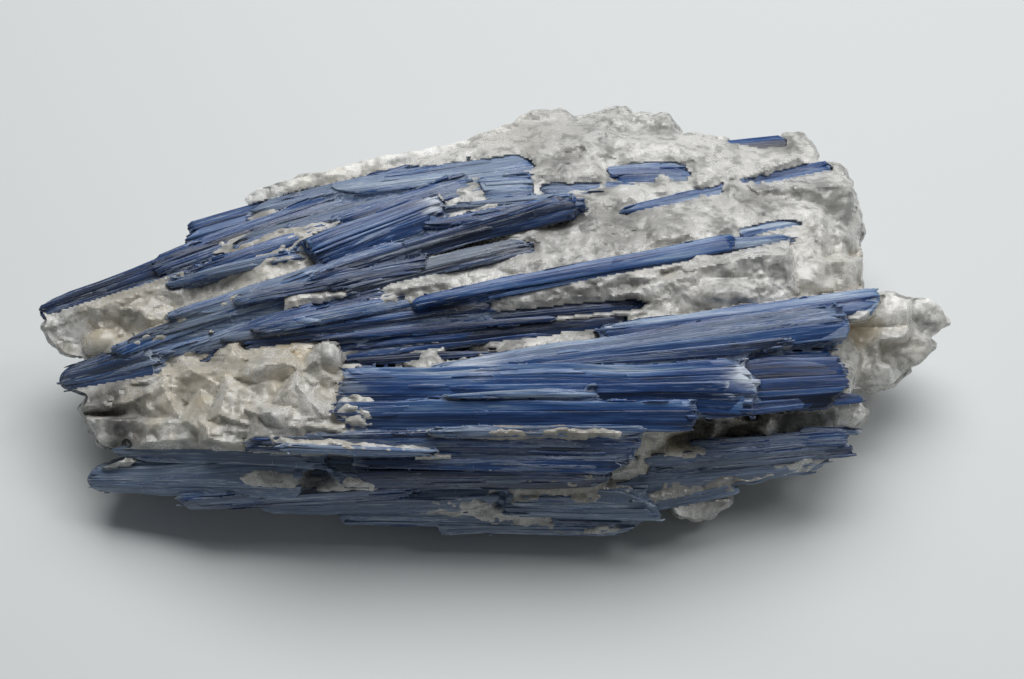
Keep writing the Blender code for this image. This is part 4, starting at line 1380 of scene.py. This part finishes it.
def pad_height(pad, base):
    """How far a pad stands towards the viewer in each map cell."""
    x, y = turned(pad)
    if pad.height is None:
        near = (abs(x) < pad.long / 2) & (abs(y) < pad.wide / 2) & (base > NOTHING)
        top = base[near].mean() + pad.lift if near.any() else NOTHING
    else:
        top = (seen(pad.right, pad.up, pad.height) - AIM).dot(TO_VIEWER)
    if pad.dome:
        far = np.hypot(x / (pad.long / 2), y / (pad.wide / 2))
        return np.where(far < DOME_REACH, top - pad.dome * far * far, NOTHING)
    beyond = np.maximum(np.maximum(abs(x) - pad.long / 2, abs(y) - pad.wide / 2), 0)
    flat = top + pad.along * x + pad.across * y
    return np.where(beyond < BLOCK_SKIRT, flat - BLOCK_SIDE * beyond, NOTHING)


def lap_height(lap, base):
    """How far a crust of grains stands towards the viewer: ragged, and thin at its rim."""
    x, y = turned(lap)
    far = np.hypot(x / (lap.long / 2), y / (lap.wide / 2))
    near = (far < LAP_REACH) & (base > NOTHING)
    height = np.full(base.shape, NOTHING)
    places = np.stack((x[near], y[near], np.zeros(near.sum())), axis=-1)
    ragged = (soft_noise(places, LAP_LUMP, 95) - 0.5) * 0.8
    grains = (soft_noise(places, LAP_GRAIN, 96) - 0.5) * 0.5
    height[near] = base[near] + lap.lift * (1 - far[near] ** 2) + ragged + grains - 0.15
    return height


# %% [markdown]
# The quartz may climb the side of a blade but not its face. A cell shows a face where what is
# seen there lies close to the plane of a blade's face, bent as that blade is bent. What else is
# seen of the blades near open quartz is a wall.

# %% Which cells show the face of a blade
FACE_DEPTH = 0.3
FACE_GAP = 0.7
WALL_REACH = 8
LIE_REACH = 20
TURNED_AWAY = 0.3


def face_gap(b):
    """The cells where this blade's face could be seen, how far off it is, and how high."""
    along, across, out = (np.array(axis) for axis in blade_frame(b))
    eye, tail = np.array(EYE), np.array(b.tail)
    sight = ONTO - eye
    length = (b.tip - b.tail).length
    place = eye + sight * (((tail - eye) @ out) / (sight @ out))[..., None]
    run, beside = (place - tail) @ along, (place - tail) @ across
    near = (run > -1) & (run < length + 1) & (abs(beside) < 0.5 * b.width + 1)
    place, sight = place[near], sight[near]
    moved = bend(place)
    place = place - moved + ((moved @ out) / (sight @ out))[..., None] * sight
    run, beside = (place - tail) @ along, (place - tail) @ across
    share = b.tail_share + (b.tip_share - b.tail_share) * np.clip(run / length, 0, 1)
    inside = (run > 0) & (run < length) & (abs(beside) < 0.5 * b.width * share)
    height = (place + moved - np.array(AIM)) @ np.array(TO_VIEWER) - FACE_DEPTH
    return near, np.where(inside, abs(height - blade_map[near]), NO_LIMIT), height


on_blade = blade_map > quartz_map
filled = np.maximum(blade_map, quartz_map) > NOTHING
gaps = np.full(RIGHTS.shape, NO_LIMIT)
face_heights = blade_map.copy()
for b in itertools.chain(*SPRAYS.values()):
    if blade_frame(b)[2].dot(TO_VIEWER) > TURNED_AWAY:
        near, gap, height = face_gap(b)
        face_heights[near] = np.where(gap < gaps[near], height, face_heights[near])
        gaps[near] = np.minimum(gaps[near], gap)
face_heights = np.where(gaps < FACE_GAP, face_heights, blade_map)
on_face = on_blade & (blurred(gaps < FACE_GAP, on_blade, 2) > 0.5)
open_cells = filled & ~on_blade
on_wall = on_blade & ~on_face & widened(open_cells, WALL_REACH)
bare = open_cells | on_wall

# How the whole display side lies to the viewer, row by row: level ground is a slope there.
tops = np.maximum(blade_map, quartz_map)
lie = [np.median(tops[:, j][filled[:, j]]) if filled[:, j].any() else np.nan
       for j in range(tops.shape[1])]
known = np.flatnonzero(~np.isnan(lie))
lie = np.interp(np.arange(tops.shape[1]), known, np.array(lie)[known])
window = 2 * LIE_REACH + 1
LIE = np.convolve(np.pad(lie, LIE_REACH, "edge"), np.ones(window) / window, "valid")[None, :]
print("cells that show a face:", int(on_face.sum()), "a wall:", int(on_wall.sum()))

# %% [markdown]
# Now each cell of quartz gets its height. A shelf falls away from just below the faces, and open
# quartz is raised to it, by a few millimetres at most. A roof rises from just above the faces, so
# that no quartz towers over them. The lumps are set on the shelf and the relief is broken into
# it. Under a face the quartz stays hidden, and the domes and the laps come last.

# %% The face of the quartz
# A shelf and two roofs: the step at the face, the slope, and how many cells it reaches.
SHELF, ROOF, STEEP_ROOF = (0.25, 0.22, 18), (0.2, 0.5, 30), (0.2, 1.6, 18)
ROOFED_BELOW = 60
MOST_RISE = 5.0
# Where the relief starts beside a face, over what length it grows, and its least share.
FADE_START, FADE_RUN, FADE_LEAST = 0.2, 1.1, 0.05
DEEPEST = 5.0
UNDER_FACE = 0.3


def lowest_near(heights, mask):
    """The lowest of each cell and its neighbours, over the cells of a mask."""
    low = masked = np.where(mask, heights, NO_LIMIT)
    for step in NEIGHBOURS:
        low = np.minimum(low, np.roll(masked, step, axis=(0, 1)))
    return np.where(low < NO_LIMIT, low, heights)


def face_limits():
    """The shelf, the roof, the steep roof, and how far each cell lies from a face."""
    shelf = LIE + shelf_beside(np.where(on_face, face_heights - LIE, NOTHING), *SHELF)
    under = np.where(on_face, LIE - face_heights, NOTHING)
    roof = LIE - shelf_beside(under, *ROOF)
    steep_roof = LIE - shelf_beside(under, *STEEP_ROOF)
    roof = np.where(roof < ROOFED_BELOW, blurred(roof, roof < ROOFED_BELOW, 2), NO_LIMIT)
    away = -shelf_beside(np.where(on_face, 0.0, NOTHING), 0.0, 1.0, 18)
    return shelf, roof, steep_roof, away


def with_laps(goal):
    """A map with the laps on it, and the cells where they show."""
    seen_blades = np.where(on_blade, blade_map, NOTHING)
    ground = np.maximum(goal, seen_blades)
    ground = blurred(ground, filled & (ground > NOTHING), 8)
    lapped = np.zeros(goal.shape, bool)
    for lap in LAPS:
        height = lap_height(lap, ground)
        lapped |= height > seen_blades - 0.1
        goal = np.where(filled, np.maximum(goal, height), goal)
    return goal, lapped


def face_map():
    """How far the quartz face stands towards the viewer, and the cells that it fills."""
    reached = filled.copy()
    shelf, roof, steep_roof, away = face_limits()
    # The quartz between the blades and up their walls.
    goal = np.maximum(quartz_map, np.minimum(shelf, quartz_map + MOST_RISE))
    goal = np.where(bare, np.where(on_wall, np.minimum(shelf, roof), goal), NOTHING)
    # The lumps. Those of the rim reach cells that nothing filled before.
    for pad in RIM_PADS:
        height = pad_height(pad, goal)
        reached |= height > NOTHING
        goal = np.where(on_face, NOTHING, np.maximum(goal, height))
    goal = np.minimum(blurred(goal, goal > NOTHING, 2), roof)
    for pad in BLOCKS:
        height = np.minimum(pad_height(pad, goal), steep_roof)
        goal = np.where(reached & ~on_face, np.maximum(goal, height), goal)
    # The broken relief, and quartz hidden under the faces.
    there = reached & (goal > NOTHING)
    points = map_points(goal)[there]
    fade = np.clip((away[there] - FADE_START) / FADE_RUN, FADE_LEAST, 1)
    goal[there] += relief(points) * fade - DEEPEST * spread(points, DEEP_SPOTS, 62)
    goal = np.where(on_face, lowest_near(blade_map, on_face) - UNDER_FACE, goal)
    # The domes again, which stay smooth, and the laps.
    for pad in BLOCKS:
        if pad.dome:
            goal = np.maximum(goal, np.where(reached, pad_height(pad, goal), NOTHING))
    goal, lapped = with_laps(goal)
    # Only cells near open quartz, walls and laps become part of the mesh.
    shown = reached & ~widened(~reached, 1) & (goal > NOTHING)
    return goal, shown & (widened(reached & ~on_blade | on_wall, 4) | widened(lapped, 2))


# %% [markdown]
# A map turns into a mesh with one vertex for each filled cell. Its edge runs in steps from cell
# to cell, so the edge is smoothed, and a skirt goes down from it, so that no gap shows under it.

# %% From a map to a mesh
FACE_SKIRT, FILLING_SKIRT = 3.0, 1.6
EDGE_SMOOTHING = 8
# The quartz mass is sunk under the fitted face in the same way, with this for its thickness.
FITTED_DEPTH = 9.0


def mesh_of(name, points, faces):
    """A mesh from arrays, in millimetres."""
    made = bpy.data.meshes.new(name)
    made.from_pydata((points * MM).tolist(), [], faces.tolist())
    return made


def smoothed_edge(points, edge):
    """The points of a mesh, with those that lie along its edge smoothed."""
    near = np.bincount(edge.ravel(), minlength=len(points))[:, None]
    for _ in range(EDGE_SMOOTHING):
        total = np.zeros(points.shape)
        for a, b in (edge.T, edge[:, ::-1].T):
            np.add.at(total, a, points[b])
        points = np.where(near == 2, 0.5 * points + 0.25 * total, points)
    return points


def face_mesh(heights, mask, skirt):
    """The map as a mesh, with a skirt round its edges."""
    index = np.full(mask.shape, -1)
    index[mask] = np.arange(mask.sum())
    corners = np.stack((index[:-1, :-1], index[1:, :-1], index[1:, 1:], index[:-1, 1:]), axis=-1)
    quads = corners[(corners >= 0).all(axis=-1)]
    # An edge is a side that only one quad has.
    sides = np.concatenate([quads[:, (k, (k + 1) % 4)] for k in range(4)])
    both = np.sort(sides, axis=1)
    _, first, times = np.unique(both, axis=0, return_index=True, return_counts=True)
    edge = sides[first[times == 1]]
    points = smoothed_edge(map_points(heights)[mask], edge)
    low = points - skirt * np.array(TO_VIEWER)
    walls = np.stack((edge[:, 1], edge[:, 0], edge[:, 0] + len(points),
                      edge[:, 1] + len(points)), axis=-1)
    made = mesh_of("face", np.concatenate((points, low)), np.concatenate((quads, walls)))
    # Cells that no quad joins, and the low points inside the edge, belong to no face.
    loose = bmesh.new()
    loose.from_mesh(made)
    bmesh.ops.delete(loose, geom=[v for v in loose.verts if not v.link_faces], context="VERTS")
    loose.to_mesh(made)
    loose.free()
    return made


fitted_map, fitted_cells = face_map()
sink_under(quartz_body.data, np.where(fitted_cells, fitted_map, NO_LIMIT), FITTED_DEPTH)
face = face_mesh(fitted_map, fitted_cells, FACE_SKIRT)
face.set_sharp_from_angle(angle=CREASE)
quartz_notes(face, points_of(face))
add_piece("quartz_face", face, QUARTZ, [])

# %% [markdown]
# Between two blades that lie side by side at different heights thinner ones fill the step. They
# are too fine to build one by one, so the same kind of map bridges the steps in the blue finish.
# Its grain follows the fan: flat at the front, steeper towards the back.

# %% The filling between the blades
CREVICE = 3
FAN_TURNS = ((-32, 0), (-8, 2), (0, 9), (10, 14), (30, 12))
RIDGE, RIDGE_SIZE = 0.5, (9.0, 0.7, 1.0)


def fillet_map():
    """How far the blue filling between the blades stands out, and the cells that it fills."""
    reach = [(i, j) for i, j in itertools.product(range(-CREVICE, CREVICE + 1), repeat=2)
             if math.hypot(i, j) <= CREVICE + 0.3]
    high = np.max([np.roll(blade_map, step, axis=(0, 1)) for step in reach], axis=0)
    closed = np.min([np.roll(high, step, axis=(0, 1)) for step in reach], axis=0)
    goal = np.where(filled & (closed > NOTHING), closed - 0.4, NOTHING)
    inside = on_blade & ~widened(~filled, 2)
    return goal, inside & (goal > NOTHING) & widened((goal > blade_map - 0.1) & inside, 2)


def fan_grain(points):
    """Millimetres along and across the fan of blades at each point."""
    right = points[:, 0] - AIM.x
    up = (points - np.array(AIM)) @ np.array(VIEW_UP)
    out = (points - np.array(AIM)) @ np.array(TO_VIEWER)
    turn = np.radians(np.interp(up, *zip(*FAN_TURNS)))
    across = 1.3 * up + 1.1 * out - right * np.tan(turn)
    return np.stack((right, across, np.zeros(len(points))), axis=-1)


filling = face_mesh(*fillet_map(), FILLING_SKIRT)
filling_points = points_of(filling)
ridge = (soft_noise(fan_grain(filling_points), RIDGE_SIZE, 90) - 0.5) * RIDGE
filling_points += ridge[:, None] * np.array(TO_VIEWER)
set_points(filling, filling_points)
tone, film, grey = shade_of(filling_points, LOOKS["slate"], 0.0)
# Frayed fibres and painted glints from the white spots, as on the blades.
torn = spread(filling_points, FRAY_AND_GLINT_SPOTS, 85)
note(filling, "grain", fan_grain(filling_points))
note(filling, "look", np.stack((tone, film, torn), axis=-1))
note(filling, "slate", grey)
add_piece("kyanite_filling", filling, KYANITE, [])
